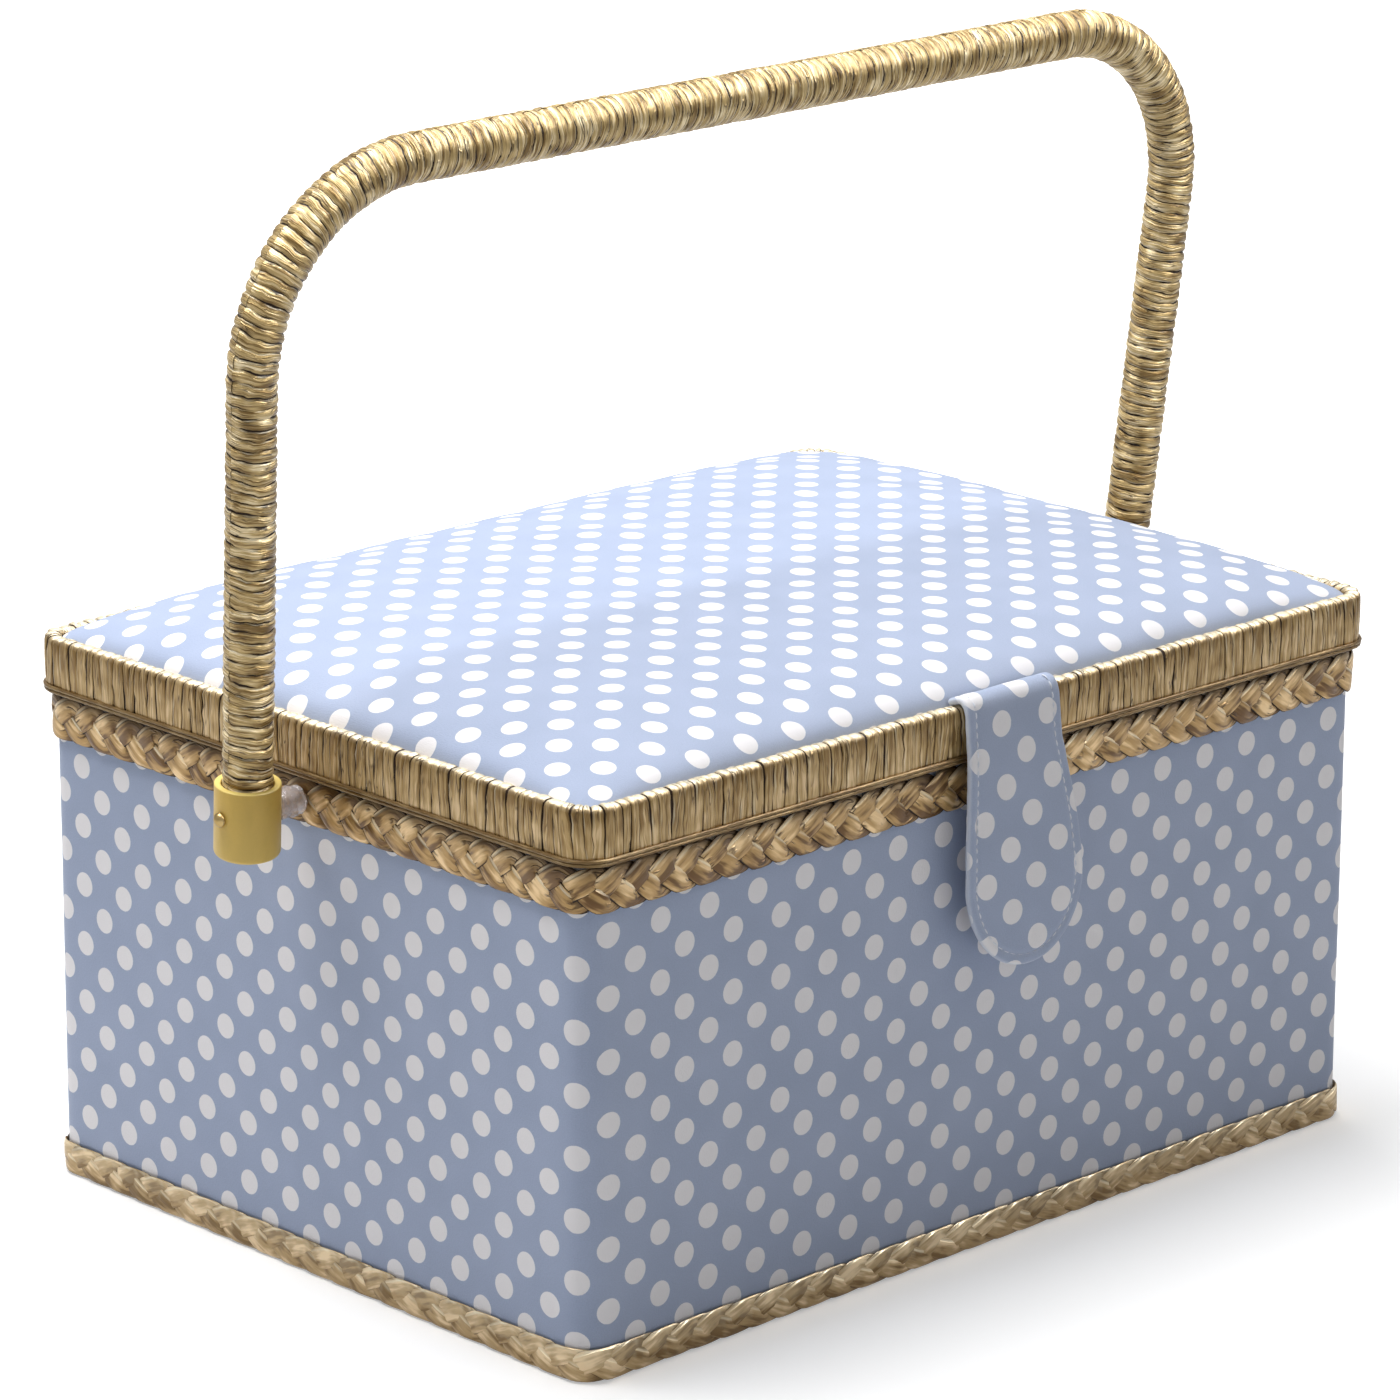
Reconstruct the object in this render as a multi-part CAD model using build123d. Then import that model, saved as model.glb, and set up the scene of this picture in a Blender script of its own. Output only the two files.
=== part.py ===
from build123d import *
import math
import os

# Sewing box with a padded lid, a swinging handle, a closing tongue and a sliding tray.
# Millimetres. X runs along the long side, the front faces -Y, Z is up.
# The origin is the middle of the face that the box stands on.

# Driving sizes of the body and the lid
lid_length = 310.0
lid_depth = 230.0
rim_top_z = 160.0
rim_height = 16.0
lid_corner_radius = 10.0
lid_overhang = 3.0
lid_seat_gap = 0.3
body_corner_radius = 8.0

# Boards and linings of the body
cover_thickness = 1.0
wall_thickness = 3.0
base_sheet_thickness = 1.0
base_sheet_inset = 3.0
base_board_thickness = 3.0
liner_thickness = 4.0
ledge_below_top = 25.7
floor_pad_thickness = 3.0
soft_gap = 0.3

# Raffia plaits round the body
plait_thickness = 2.2
upper_plait_height = 12.7
lower_plait_height = 9.2
plait_lift = 0.3

# Lid
rim_wrap_thickness = 1.6
rim_wrap_lip = 4.0
rail_width = 13.4
lid_board_thickness = 3.0
lid_lining_thickness = 1.0
pad_crown = 14.6
pad_edge_gap = 0.3
pad_corner_growth = 0.35
cushion_corner_facets = 4
cushion_corner_share = 0.45

# Pocket and pin cushion under the lid
pocket_length = 120.0
pocket_width = 150.0
pocket_thickness = 4.0
pocket_corner = 6.0
pin_cushion_length = 90.0
pin_cushion_width = 70.0
pin_cushion_height = 9.0
pin_cushion_corner = 20.0
under_lid_spread = 66.0

# Handle and its pivots
pivot_below_top = 6.2
spacer_length = 8.35
handle_rise = 175.5
handle_lean = 5.3
leg_splay = 2.5
shoulder_radius = 52.0
cane_radius = 5.0
cane_facets = 6
wrap_radius = 6.95
winding_facets = 16
socket_radius = 9.1
socket_wall = 2.0
socket_floor = 2.0
socket_below_pivot = 11.4
socket_above_pivot = 9.1
socket_edge_chamfer = 1.3
socket_facets = 32
pivot_pin_radius = 2.0
pivot_running_gap = 0.06
pin_head_radius = 2.4
pin_head_height = 1.8
pin_dome_steps = 2
side_play = 0.35
spacer_radius = 4.5
washer_radius = 5.0
washer_thickness = 1.0
nut_across_flats = 7.0
nut_thickness = 2.8
pin_tail = 0.9

# Stop hinges
hinge_from_end = 60.0
hinge_width = 30.0
barrel_radius = 2.6
barrel_gap = 0.2
hinge_pin_radius = 1.0
hinge_running_gap = 0.05
hinge_pin_end = 0.4
knuckle_count = 3
knuckle_gap = 0.2
leaf_thickness = 1.0
leaf_height = 9.5
lip_gap = 0.3
lip_length = 2.8
lip_thickness = 1.1
lid_open_angle = 100.0
stop_clearance_angle = 0.5
screw_radius = 1.2
screw_length = 4.4
screw_head_radius = 2.1
screw_head_height = 0.9
screw_spacing = 18.0
screw_facets = 8

# Closing tongue and its press stud
tongue_x = 2.0
tongue_thickness = 2.2
tongue_top_width = 36.0
tongue_low_width = 43.4
tongue_length = 78.4
tongue_stand_off = 6.8
tongue_bow = 3.2
tongue_straight = 34.7
tongue_root_gap = 0.4
stud_radius = 7.0
stud_height = 3.0
stud_boss_radius = 3.0
stud_boss_height = 0.6
press_gap = 0.3
snap_from_tip = 14.0

# Sliding tray
tray_depth = 100.0
tray_height = 40.0
tray_wall = 1.6
tray_floor = 1.6
tray_flange_thickness = 1.7
tray_corner = 6.0
tray_side_gap = 0.5
tray_ledge_gap = 0.3
tray_front_bay = 28.0
tray_rear_bays = 3

# Sizes that follow from the driving ones
body_length = lid_length - 2 * lid_overhang
body_depth = lid_depth - 2 * lid_overhang
rim_bottom_z = rim_top_z - rim_height
body_top_z = rim_bottom_z - lid_seat_gap
wall_length = body_length - 2 * cover_thickness
wall_depth = body_depth - 2 * cover_thickness
wall_corner = body_corner_radius - cover_thickness
inner_length = wall_length - 2 * wall_thickness
inner_depth = wall_depth - 2 * wall_thickness
inner_corner = wall_corner - wall_thickness
lined_length = inner_length - 2 * liner_thickness
lined_depth = inner_depth - 2 * liner_thickness
board_top_z = base_sheet_thickness + base_board_thickness
ledge_z = body_top_z - ledge_below_top
plait_length = body_length + 2 * plait_thickness
plait_depth = body_depth + 2 * plait_thickness
plait_corner = body_corner_radius + plait_thickness
upper_plait_top = body_top_z - plait_lift
pivot_z = body_top_z - pivot_below_top
socket_x = plait_length / 2 + spacer_length + side_play + socket_radius

rail_length = lid_length - 2 * rim_wrap_thickness
rail_depth = lid_depth - 2 * rim_wrap_thickness
rail_corner = lid_corner_radius - rim_wrap_thickness
rail_bottom_z = rim_bottom_z + rim_wrap_thickness
rail_top_z = rim_top_z - rim_wrap_thickness
lid_inside_length = rail_length - 2 * rail_width
lid_inside_depth = rail_depth - 2 * rail_width
lid_board_bottom = rail_top_z - lid_board_thickness
lid_lining_bottom = lid_board_bottom - lid_lining_thickness

hinge_x = lid_length / 2 - hinge_from_end
hinge_y = lid_depth / 2 + barrel_radius + barrel_gap
hinge_z = (rim_bottom_z + body_top_z) / 2
rest_lip_angle = lid_open_angle / 2

tongue_axis_y = -(lid_depth / 2 + tongue_root_gap)
tongue_axis_z = rim_top_z + tongue_thickness + tongue_root_gap / 2
tongue_tip_z = tongue_axis_z - tongue_length
snap_z = tongue_tip_z + snap_from_tip
stud_face_y = -(body_depth / 2 + tongue_stand_off)


def slab(length, depth, corner, bottom, top):
    """An upright plate with rounded corners, centred on the Z axis."""
    outline = RectangleRounded(length, depth, corner) if corner > 0 else Rectangle(length, depth)
    return Pos(0, 0, bottom) * extrude(outline, top - bottom)


def frame_ring(length, depth, corner, thickness, bottom, top):
    """A closed band: a slab with a smaller slab taken out of its middle."""
    hollow = slab(length - 2 * thickness, depth - 2 * thickness, corner - thickness, bottom, top)
    return slab(length, depth, corner, bottom, top) - hollow


def block(x_span, y_span, z_span):
    """A plain block between the given pairs of limits."""
    spans = (x_span, y_span, z_span)
    size = [high - low for low, high in spans]
    middle = [(high + low) / 2 for low, high in spans]
    return Pos(*middle) * Box(*size)


def rod_x(radius, x_span, y=0.0, z=0.0):
    """A round bar along X."""
    low, high = x_span
    return Pos((low + high) / 2, y, z) * Rot(0, 90, 0) * Cylinder(radius, high - low)


def rod_y(radius, y_span, x=0.0, z=0.0):
    """A round bar along Y."""
    low, high = y_span
    return Pos(x, (low + high) / 2, z) * Rot(90, 0, 0) * Cylinder(radius, high - low)


def domed_pin(length):
    """A pivot pin along X with its head's seat at X 0; the dome is a few cones under one arc."""
    dome_radius = (pin_head_radius ** 2 + pin_head_height ** 2) / (2 * pin_head_height)
    half_angle = math.asin(pin_head_radius / dome_radius)
    middle_x = pin_head_height - dome_radius
    dome = []
    for index in range(pin_dome_steps + 1):
        angle = half_angle * (1 - index / pin_dome_steps)
        dome.append((middle_x + dome_radius * math.cos(angle), dome_radius * math.sin(angle)))
    outline = Polyline((-length, 0), (-length, pivot_pin_radius), (0, pivot_pin_radius), *dome,
                       close=True)
    return revolve(Plane.XZ * make_face(outline), Axis.X)


def mirrored(shape, side):
    """The shape itself on the right (side 1), its mirror image on the left (side -1)."""
    return shape if side > 0 else mirror(shape, about=Plane.YZ)


def quarter(ring, name, length, depth, split_y):
    """One wall of a ring: front and back keep the rounded corners."""
    far = max(length, depth)
    spans = {
        "front": ((-far, far), (-far, -split_y)),
        "back": ((-far, far), (split_y, far)),
        "left": ((-far, 0), (-split_y, split_y)),
        "right": ((0, far), (-split_y, split_y)),
    }
    x_span, y_span = spans[name]
    return ring & block(x_span, y_span, (-far, far))


# Body: boards, cover, linings and plaits

def pivot_hole(z=pivot_z):
    """The hole that both pivot pins pass through, from side to side at the given height."""
    return rod_x(pivot_pin_radius + pivot_running_gap, (-lid_length, lid_length), z=z)


def body_boards():
    """Base sheet, base board and the four walls, folded round at the corners."""
    inset = 2 * base_sheet_inset
    sheet = slab(body_length - inset, body_depth - inset, body_corner_radius - base_sheet_inset,
                 0, base_sheet_thickness)
    board = slab(inner_length, inner_depth, inner_corner, base_sheet_thickness, board_top_z)
    ring = frame_ring(wall_length, wall_depth, wall_corner, wall_thickness,
                      base_sheet_thickness, body_top_z)
    ring = ring - pivot_hole()
    split_y = inner_depth / 2 - inner_corner
    nodes = {"base_sheet": sheet, "base_board": board}
    for name in ("front", "back", "left", "right"):
        nodes[name + "_wall"] = quarter(ring, name, wall_length, wall_depth, split_y)
    return nodes


def body_linings():
    """Lining boards, whose top edges are the tray's ledge, and the padded floor lining."""
    ring = slab(inner_length, inner_depth, inner_corner, board_top_z, ledge_z)
    ring = ring - slab(lined_length, lined_depth, 0, board_top_z, ledge_z)
    nodes = {}
    for name in ("front", "back", "left", "right"):
        nodes[name + "_liner"] = quarter(ring, name, inner_length, inner_depth, lined_depth / 2)
    nodes["floor_pad"] = slab(lined_length - 2 * soft_gap, lined_depth - 2 * soft_gap, 2 * soft_gap,
                              board_top_z, board_top_z + floor_pad_thickness)
    return nodes


def body_skin():
    """The fabric cover and the two raffia plaits glued over its edges."""
    cover = frame_ring(body_length, body_depth, body_corner_radius, cover_thickness,
                       base_sheet_thickness, body_top_z)
    upper = frame_ring(plait_length, plait_depth, plait_corner, plait_thickness,
                       upper_plait_top - upper_plait_height, upper_plait_top)
    lower = frame_ring(plait_length, plait_depth, plait_corner, plait_thickness,
                       plait_lift, plait_lift + lower_plait_height)
    hole = pivot_hole()
    return {"body_cover": cover - hole, "upper_plait": upper - hole, "lower_plait": lower}


def press_socket():
    """The fixed half of the tongue's press stud: a flanged disc with a recess for the boss."""
    face_y = -body_depth / 2
    front_y = stud_face_y + stud_height + press_gap
    disc = rod_y(stud_radius, (front_y, face_y), tongue_x, snap_z)
    recess = rod_y(stud_boss_radius + press_gap, (front_y, front_y + stud_boss_height + press_gap),
                   tongue_x, snap_z)
    return {"snap_socket": disc - recess}


# Pivots of the handle

def pivot_side(side):
    """Spacer and washer on the box, pin and nut of one pivot."""
    wall_face = inner_length / 2
    plait_face = plait_length / 2
    head_x = socket_x + socket_radius + side_play
    nut_face = wall_face - washer_thickness - side_play
    tail_x = nut_face - nut_thickness - pin_tail
    hole = pivot_hole()

    spacer = rod_x(spacer_radius, (plait_face, plait_face + spacer_length), z=pivot_z) - hole
    washer = rod_x(washer_radius, (wall_face - washer_thickness, wall_face), z=pivot_z) - hole

    pin = Pos(head_x, 0, pivot_z) * domed_pin(head_x - tail_x)

    hexagon = RegularPolygon(nut_across_flats / 2, 6, major_radius=False)
    nut = Pos(nut_face - nut_thickness, 0, pivot_z) * Rot(0, 90, 0) * extrude(hexagon, nut_thickness)
    nut = nut - hole

    word = "right" if side > 0 else "left"
    pieces = {"spacer": spacer, "pin_washer": washer, "pivot_pin": pin, "pin_nut": nut}
    return {word + "_" + name: mirrored(piece, side) for name, piece in pieces.items()}


# Handle: a bent cane wound with raffia, its ends in plastic cups

def handle_path():
    """Centreline of the cane in its own upright plane, the pivots at height 0."""
    slope = math.tan(math.radians(leg_splay))
    end_height = socket_floor - socket_below_pivot
    foot = end_height * math.cos(math.radians(leg_splay))
    foot_x = socket_x + foot * slope
    shoulder_x = socket_x + handle_rise * slope
    points = [(foot_x, 0, foot), (shoulder_x, 0, handle_rise),
              (-shoulder_x, 0, handle_rise), (-foot_x, 0, foot)]
    return FilletPolyline(*points, radius=shoulder_radius)


def handle_socket():
    """The right-hand plastic cup, open at the top, along the splayed leg."""
    height = socket_below_pivot + socket_above_pivot
    outer = extrude(RegularPolygon(socket_radius, socket_facets), height)
    outer = chamfer(outer.edges().group_by(Axis.Z)[0], socket_edge_chamfer)
    bore = extrude(RegularPolygon(socket_radius - socket_wall, winding_facets), height)
    cup = Pos(0, 0, -socket_below_pivot) * (outer - Pos(0, 0, socket_floor) * bore)
    return Pos(socket_x, 0, 0) * Rot(0, leg_splay, 0) * cup - pivot_hole(0)


def handle_parts():
    """Cane, raffia winding and both sockets, leaning as the handle stands."""
    path = handle_path()
    start = Plane(origin=path @ 0, z_dir=path % 0)
    pin_hole = pivot_hole(0)
    cane_outline = RegularPolygon(cane_radius, cane_facets)
    winding_outline = RegularPolygon(wrap_radius, winding_facets)
    cane = sweep(start * cane_outline, path)
    winding = sweep(start * winding_outline, path) - cane
    cup = handle_socket()
    stand = Pos(0, 0, pivot_z) * Rot(handle_lean, 0, 0)
    return {
        "handle_core": stand * (cane - pin_hole),
        "handle_wrap": stand * (winding - pin_hole),
        "right_socket": stand * cup,
        "left_socket": stand * mirrored(cup, -1),
    }


# Lid

def lid_boards():
    """Frame of rails, board set into it, and the lining glued under the board."""
    frame = slab(rail_length, rail_depth, rail_corner, rail_bottom_z, rail_top_z)
    frame = frame - slab(lid_inside_length, lid_inside_depth, 0, rail_bottom_z, rail_top_z)
    board = slab(lid_inside_length, lid_inside_depth, 0, lid_board_bottom, rail_top_z)
    lining = slab(lid_inside_length, lid_inside_depth, 0, lid_lining_bottom, lid_board_bottom)
    return {"lid_frame": frame, "lid_board": board, "lid_lining": lining}


def rim_winding():
    """Raffia strips wound over the rails, a lip of them turned in above and below."""
    band = frame_ring(lid_length, lid_depth, lid_corner_radius, rim_wrap_lip, rim_bottom_z, rim_top_z)
    rails = slab(rail_length, rail_depth, rail_corner, rail_bottom_z, rail_top_z)
    return {"lid_rim_wrap": band - rails}


def corner_points(length, depth, radius, z):
    """Points round a level rectangle whose corners are rounded by a few straight facets."""
    points = []
    for quadrant, (x_side, y_side) in enumerate(((1, 1), (-1, 1), (-1, -1), (1, -1))):
        middle_x = x_side * (length / 2 - radius)
        middle_y = y_side * (depth / 2 - radius)
        for step in range(cushion_corner_facets + 1):
            angle = math.radians(90 * (quadrant + step / cushion_corner_facets))
            points.append((middle_x + radius * math.cos(angle), middle_y + radius * math.sin(angle), z))
    return points


def crowned_cushion(length, depth, corner, growth, height, steps):
    """A stuffed form of flat facets: each step is (how far in from the edge, share of the height)."""
    rings = []
    for inward, share in steps:
        narrow = min(length, depth) - 2 * inward
        radius = min(corner + growth * inward, cushion_corner_share * narrow)
        rings.append(corner_points(length - 2 * inward, depth - 2 * inward, radius, share * height))
    faces = [Face(Wire.make_polygon(rings[0])), Face(Wire.make_polygon(rings[-1]))]
    for lower, upper in zip(rings, rings[1:]):
        for index in range(len(lower)):
            after = (index + 1) % len(lower)
            facet = (lower[index], lower[after], upper[after], upper[index])
            faces.append(Face(Wire.make_polygon(facet)))
    return Solid(Shell(faces))


def lid_soft_parts():
    """Padded top with its crown, and the pocket and pin cushion under the lid."""
    inside = 2 * (rim_wrap_lip + pad_edge_gap)
    steps = [(0.0, 0.0), (1.2, 0.24), (8.0, 0.5), (22.0, 0.77), (48.0, 0.95), (80.0, 1.0)]
    pad = crowned_cushion(lid_length - inside, lid_depth - inside,
                          lid_corner_radius - rim_wrap_lip, pad_corner_growth, pad_crown, steps)
    cushion_steps = [(2.0, 0.0), (0.0, 0.4), (3.0, 0.8), (14.0, 1.0)]
    cushion = crowned_cushion(pin_cushion_length, pin_cushion_width, pin_cushion_corner,
                              -1.0, pin_cushion_height, cushion_steps)
    cushion = Pos(under_lid_spread, 0, lid_lining_bottom) * Rot(180, 0, 0) * cushion
    pocket = slab(pocket_length, pocket_width, pocket_corner,
                  lid_lining_bottom - pocket_thickness, lid_lining_bottom)
    return {
        "lid_pad": Pos(0, 0, rail_top_z) * pad,
        "pin_cushion": cushion,
        "lid_pocket": Pos(-under_lid_spread, 0, 0) * pocket,
    }


# Stop hinges: lips beyond the barrel meet when the lid stands open

def knuckle_spans(first):
    """X limits of every second knuckle, starting at the given one."""
    pitch = hinge_width / knuckle_count
    start = -hinge_width / 2
    return [(start + index * pitch + knuckle_gap / 2, start + (index + 1) * pitch - knuckle_gap / 2)
            for index in range(first, knuckle_count, 2)]


def stop_lip(spans, angle, away):
    """A bar along the barrel; the face towards the other leaf's bar lies on the given angle."""
    turned = Pos(0, hinge_y, hinge_z) * Rot(angle, 0, 0)
    inner = barrel_radius + lip_gap
    span = (-hinge_width / 2, hinge_width / 2)
    depth = (0, lip_thickness) if away > 0 else (-lip_thickness, 0)
    lip = block(span, (inner, inner + lip_length), depth)
    for knuckle in spans:
        lip = lip + block(knuckle, (barrel_radius / 2, inner + lip_length / 2), depth)
    return turned * lip


def hinge_leaf(first, face_y, z_span, tongue_span, lip_angle, away):
    """One leaf at the middle of the back: plate, knuckles and stop lip."""
    spans = knuckle_spans(first)
    width = (-hinge_width / 2, hinge_width / 2)
    leaf = block(width, (face_y, face_y + leaf_thickness), z_span)
    for knuckle in spans:
        leaf = leaf + rod_x(barrel_radius, knuckle, hinge_y, hinge_z)
        leaf = leaf + block(knuckle, (face_y, hinge_y), tongue_span)
    leaf = leaf + stop_lip(spans, lip_angle, away)
    leaf = leaf - rod_x(hinge_pin_radius + hinge_running_gap, width, hinge_y, hinge_z)
    for x in (-screw_spacing / 2, screw_spacing / 2):
        leaf = leaf - leaf_screw(face_y, x, screw_height(z_span))
    return leaf


def screw_height(z_span):
    """Screws sit in the middle of a leaf's plate."""
    return (z_span[0] + z_span[1]) / 2


def leaf_screw(face_y, x, z):
    """A screw through a leaf into the board behind it, drawn with few faces."""
    shank = RegularPolygon(screw_radius, screw_facets)
    head = [RegularPolygon(screw_head_radius, screw_facets), Pos(0, 0, screw_head_height) * shank]
    screw = extrude(shank, -screw_length) + loft(head)
    return Pos(x, face_y + leaf_thickness, z) * Rot(-90, 0, 0) * screw


def hinges():
    """Both hinges: leaves on the box and on the lid, their pins and all the screws."""
    box_face = plait_depth / 2
    lid_face = lid_depth / 2
    clear = barrel_radius + lip_gap
    box_z = (hinge_z - clear - leaf_height, hinge_z - clear)
    lid_z = (hinge_z + clear, hinge_z + clear + leaf_height)
    box_leaf = hinge_leaf(0, box_face, box_z, (box_z[1] - leaf_thickness, hinge_z),
                          -rest_lip_angle - stop_clearance_angle, -1)
    lid_leaf = hinge_leaf(1, lid_face, lid_z, (rim_bottom_z, lid_z[0] + leaf_thickness),
                          rest_lip_angle, 1)
    reach = hinge_width / 2 + hinge_pin_end
    pin = rod_x(hinge_pin_radius, (-reach, reach), hinge_y, hinge_z)

    nodes = {}
    box_screws = []
    lid_screws = []
    for word, x in (("left", -hinge_x), ("right", hinge_x)):
        nodes[word + "_hinge_box_leaf"] = Pos(x, 0, 0) * box_leaf
        nodes[word + "_hinge_lid_leaf"] = Pos(x, 0, 0) * lid_leaf
        nodes[word + "_hinge_pin"] = Pos(x, 0, 0) * pin
        for step in (-screw_spacing / 2, screw_spacing / 2):
            box_screws.append(leaf_screw(box_face, x + step, screw_height(box_z)))
            lid_screws.append(leaf_screw(lid_face, x + step, screw_height(lid_z)))
    nodes["hinge_box_screws"] = Compound(children=box_screws)
    nodes["hinge_lid_screws"] = Compound(children=lid_screws)
    return nodes


# Closing tongue

def tongue_root():
    """The sewn-down end of the tongue, flat on the rim between pad and front edge."""
    half = tongue_top_width / 2
    back_y = -(lid_depth / 2 - rim_wrap_lip - pad_edge_gap / 2)
    front_y = -(lid_depth / 2 + tongue_root_gap / 2)
    return block((tongue_x - half, tongue_x + half), (front_y, back_y),
                 (rim_top_z, rim_top_z + tongue_thickness))


def tongue_profile():
    """Side view: bowed out from the rim, then straight down where the press stud sits."""
    top_z = tongue_axis_z - tongue_root_gap / 2
    low_y = stud_face_y
    top_y = low_y + tongue_bow
    bend_z = tongue_tip_z + tongue_straight
    back = Line((low_y, tongue_tip_z), (low_y, bend_z))
    back_bow = TangentArc((low_y, bend_z), (top_y, top_z), tangent=(0, 1))
    front_y = low_y - tongue_thickness
    front = Line((front_y, tongue_tip_z), (front_y, bend_z))
    front_bow = TangentArc((front_y, bend_z), (top_y - tongue_thickness, top_z), tangent=(0, 1))
    top = Line((top_y, top_z), (top_y - tongue_thickness, top_z))
    tip = Line((low_y, tongue_tip_z), (front_y, tongue_tip_z))
    return make_face([back, back_bow, top, front_bow, front, tip])


def tongue_outline():
    """Front view: widening downwards to a half-round end."""
    half_top = tongue_top_width / 2
    half_low = tongue_low_width / 2
    top_z = tongue_axis_z
    round_z = tongue_tip_z + half_low
    return make_face([
        Line((-half_top, top_z), (half_top, top_z)),
        Line((half_top, top_z), (half_low, round_z)),
        ThreePointArc((half_low, round_z), (0, tongue_tip_z), (-half_low, round_z)),
        Line((-half_low, round_z), (-half_top, top_z)),
    ])


def tongue_parts():
    """Tongue and the stud riveted to its back."""
    side = extrude(Plane.YZ * tongue_profile(), tongue_low_width, both=True)
    front = extrude(Plane.XZ * tongue_outline(), lid_depth, both=True)
    tongue = Pos(tongue_x, 0, 0) * (side & front)
    stud = rod_y(stud_radius, (stud_face_y, stud_face_y + stud_height), tongue_x, snap_z)
    boss_end = stud_face_y + stud_height + stud_boss_height
    stud = stud + rod_y(stud_boss_radius, (stud_face_y, boss_end), tongue_x, snap_z)
    return {"tongue": tongue, "snap_stud": stud}


# Tray

def tray_bays(tub_length, tub_depth):
    """Centre and size of each compartment: one long one in front, a row behind it."""
    inside_length = tub_length - 2 * tray_wall
    rear_depth = tub_depth - 3 * tray_wall - tray_front_bay
    rear_length = (inside_length - (tray_rear_bays - 1) * tray_wall) / tray_rear_bays
    front_y = -tub_depth / 2 + tray_wall + tray_front_bay / 2
    rear_y = tub_depth / 2 - tray_wall - rear_depth / 2
    bays = [(0.0, front_y, inside_length, tray_front_bay)]
    for index in range(tray_rear_bays):
        x = (index - (tray_rear_bays - 1) / 2) * (rear_length + tray_wall)
        bays.append((x, rear_y, rear_length, rear_depth))
    return bays


def sliding_tray():
    """A moulded half-depth tray, its flange on the ledge, parked at the back."""
    flange_length = inner_length - 2 * tray_side_gap
    tub_length = lined_length - 2 * tray_side_gap
    tub_depth = tray_depth - 2 * liner_thickness
    flange_bottom = ledge_z + tray_ledge_gap
    top = flange_bottom + tray_flange_thickness
    bottom = top - tray_height
    tray = slab(tub_length, tub_depth, tray_corner, bottom, top)
    tray = tray + slab(flange_length, tray_depth, inner_corner, flange_bottom, top)
    for x, y, length, depth in tray_bays(tub_length, tub_depth):
        bay = slab(length, depth, tray_corner - tray_wall, bottom + tray_floor, top)
        tray = tray - Pos(x, y, 0) * bay
    parked_y = inner_depth / 2 - tray_side_gap - tray_depth / 2
    return {"tray": Pos(0, parked_y, 0) * tray}


def all_parts():
    """Every node by name."""
    nodes = {}
    nodes.update(body_boards())
    nodes.update(body_linings())
    nodes.update(body_skin())
    nodes.update(press_socket())
    for side in (-1, 1):
        nodes.update(pivot_side(side))
    nodes.update(handle_parts())
    nodes.update(lid_boards())
    nodes.update(rim_winding())
    nodes.update(lid_soft_parts())
    nodes.update(hinges())
    nodes["tongue_root"] = tongue_root()
    nodes.update(tongue_parts())
    nodes.update(sliding_tray())
    return nodes


os.makedirs("parts", exist_ok=True)
for node, shape in all_parts().items():
    export_step(shape, os.path.join("parts", node + ".step"))
travel = inner_depth - 2 * tray_side_gap - tray_depth
print(f"lid hinge axis at y {hinge_y:.3f}, z {hinge_z:.3f}, opens {lid_open_angle:.0f} degrees")
print(f"tongue axis at y {tongue_axis_y:.3f}, z {tongue_axis_z:.3f}")
print(f"handle pivot at z {pivot_z:.2f}, tray travel {travel:.2f}")
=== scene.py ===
import math
from functools import partial

import bmesh
import bpy
import numpy as np
from mathutils import Matrix, Quaternion, Vector


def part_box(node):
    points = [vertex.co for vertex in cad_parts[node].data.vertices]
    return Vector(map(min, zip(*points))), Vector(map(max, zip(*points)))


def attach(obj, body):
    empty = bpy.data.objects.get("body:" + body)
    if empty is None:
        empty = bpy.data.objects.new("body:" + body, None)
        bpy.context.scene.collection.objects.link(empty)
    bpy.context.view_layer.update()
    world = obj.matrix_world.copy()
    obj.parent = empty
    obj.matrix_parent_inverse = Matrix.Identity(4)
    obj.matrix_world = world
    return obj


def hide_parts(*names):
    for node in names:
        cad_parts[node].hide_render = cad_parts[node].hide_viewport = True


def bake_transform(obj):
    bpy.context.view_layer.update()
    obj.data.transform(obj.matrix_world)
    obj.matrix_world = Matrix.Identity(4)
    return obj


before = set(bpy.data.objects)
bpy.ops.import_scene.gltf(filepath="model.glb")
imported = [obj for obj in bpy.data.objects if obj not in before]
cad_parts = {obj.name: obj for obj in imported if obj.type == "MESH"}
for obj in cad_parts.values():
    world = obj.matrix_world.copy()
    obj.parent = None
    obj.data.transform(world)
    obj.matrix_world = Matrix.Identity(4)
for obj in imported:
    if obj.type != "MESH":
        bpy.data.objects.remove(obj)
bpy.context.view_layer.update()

bpy.ops.object.select_all(action="DESELECT")


# Camera: a long lens a little above the lid, looking at the near corner, with the
# front on the right and the end with one handle socket on the left.
camera_azimuth = math.radians(-43.754)
camera_elevation = math.radians(16.766)
camera_roll = 0.004
camera_aim = Vector((-0.0042, 0, 0.1346))
camera_distance = 1.85508
toward_camera = Vector((math.sin(camera_azimuth) * math.cos(camera_elevation),
                        -math.cos(camera_azimuth) * math.cos(camera_elevation),
                        math.sin(camera_elevation)))
bpy.ops.object.camera_add(location=camera_aim + toward_camera * camera_distance)
camera = bpy.context.object
camera.rotation_mode = "QUATERNION"
camera.rotation_quaternion = ((-toward_camera).to_track_quat("-Z", "Y")
                              @ Quaternion((0, 0, 1), camera_roll))
camera.data.sensor_width = 36
camera.data.lens = 167.17
camera.data.clip_end = 20
bpy.context.scene.camera = camera


# Studio: a wide soft lamp above and a little behind the box, a pale floor that throws
# light back up on the sides, and an even white world.
def maths(operation, swapped=False):
    """A method of Value that adds a Math node."""
    def method(self, *others):
        terms = (*others, self) if swapped else (self, *others)
        return self.nodes.node("ShaderNodeMath", {"operation": operation}, dict(enumerate(terms)))
    return method


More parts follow.
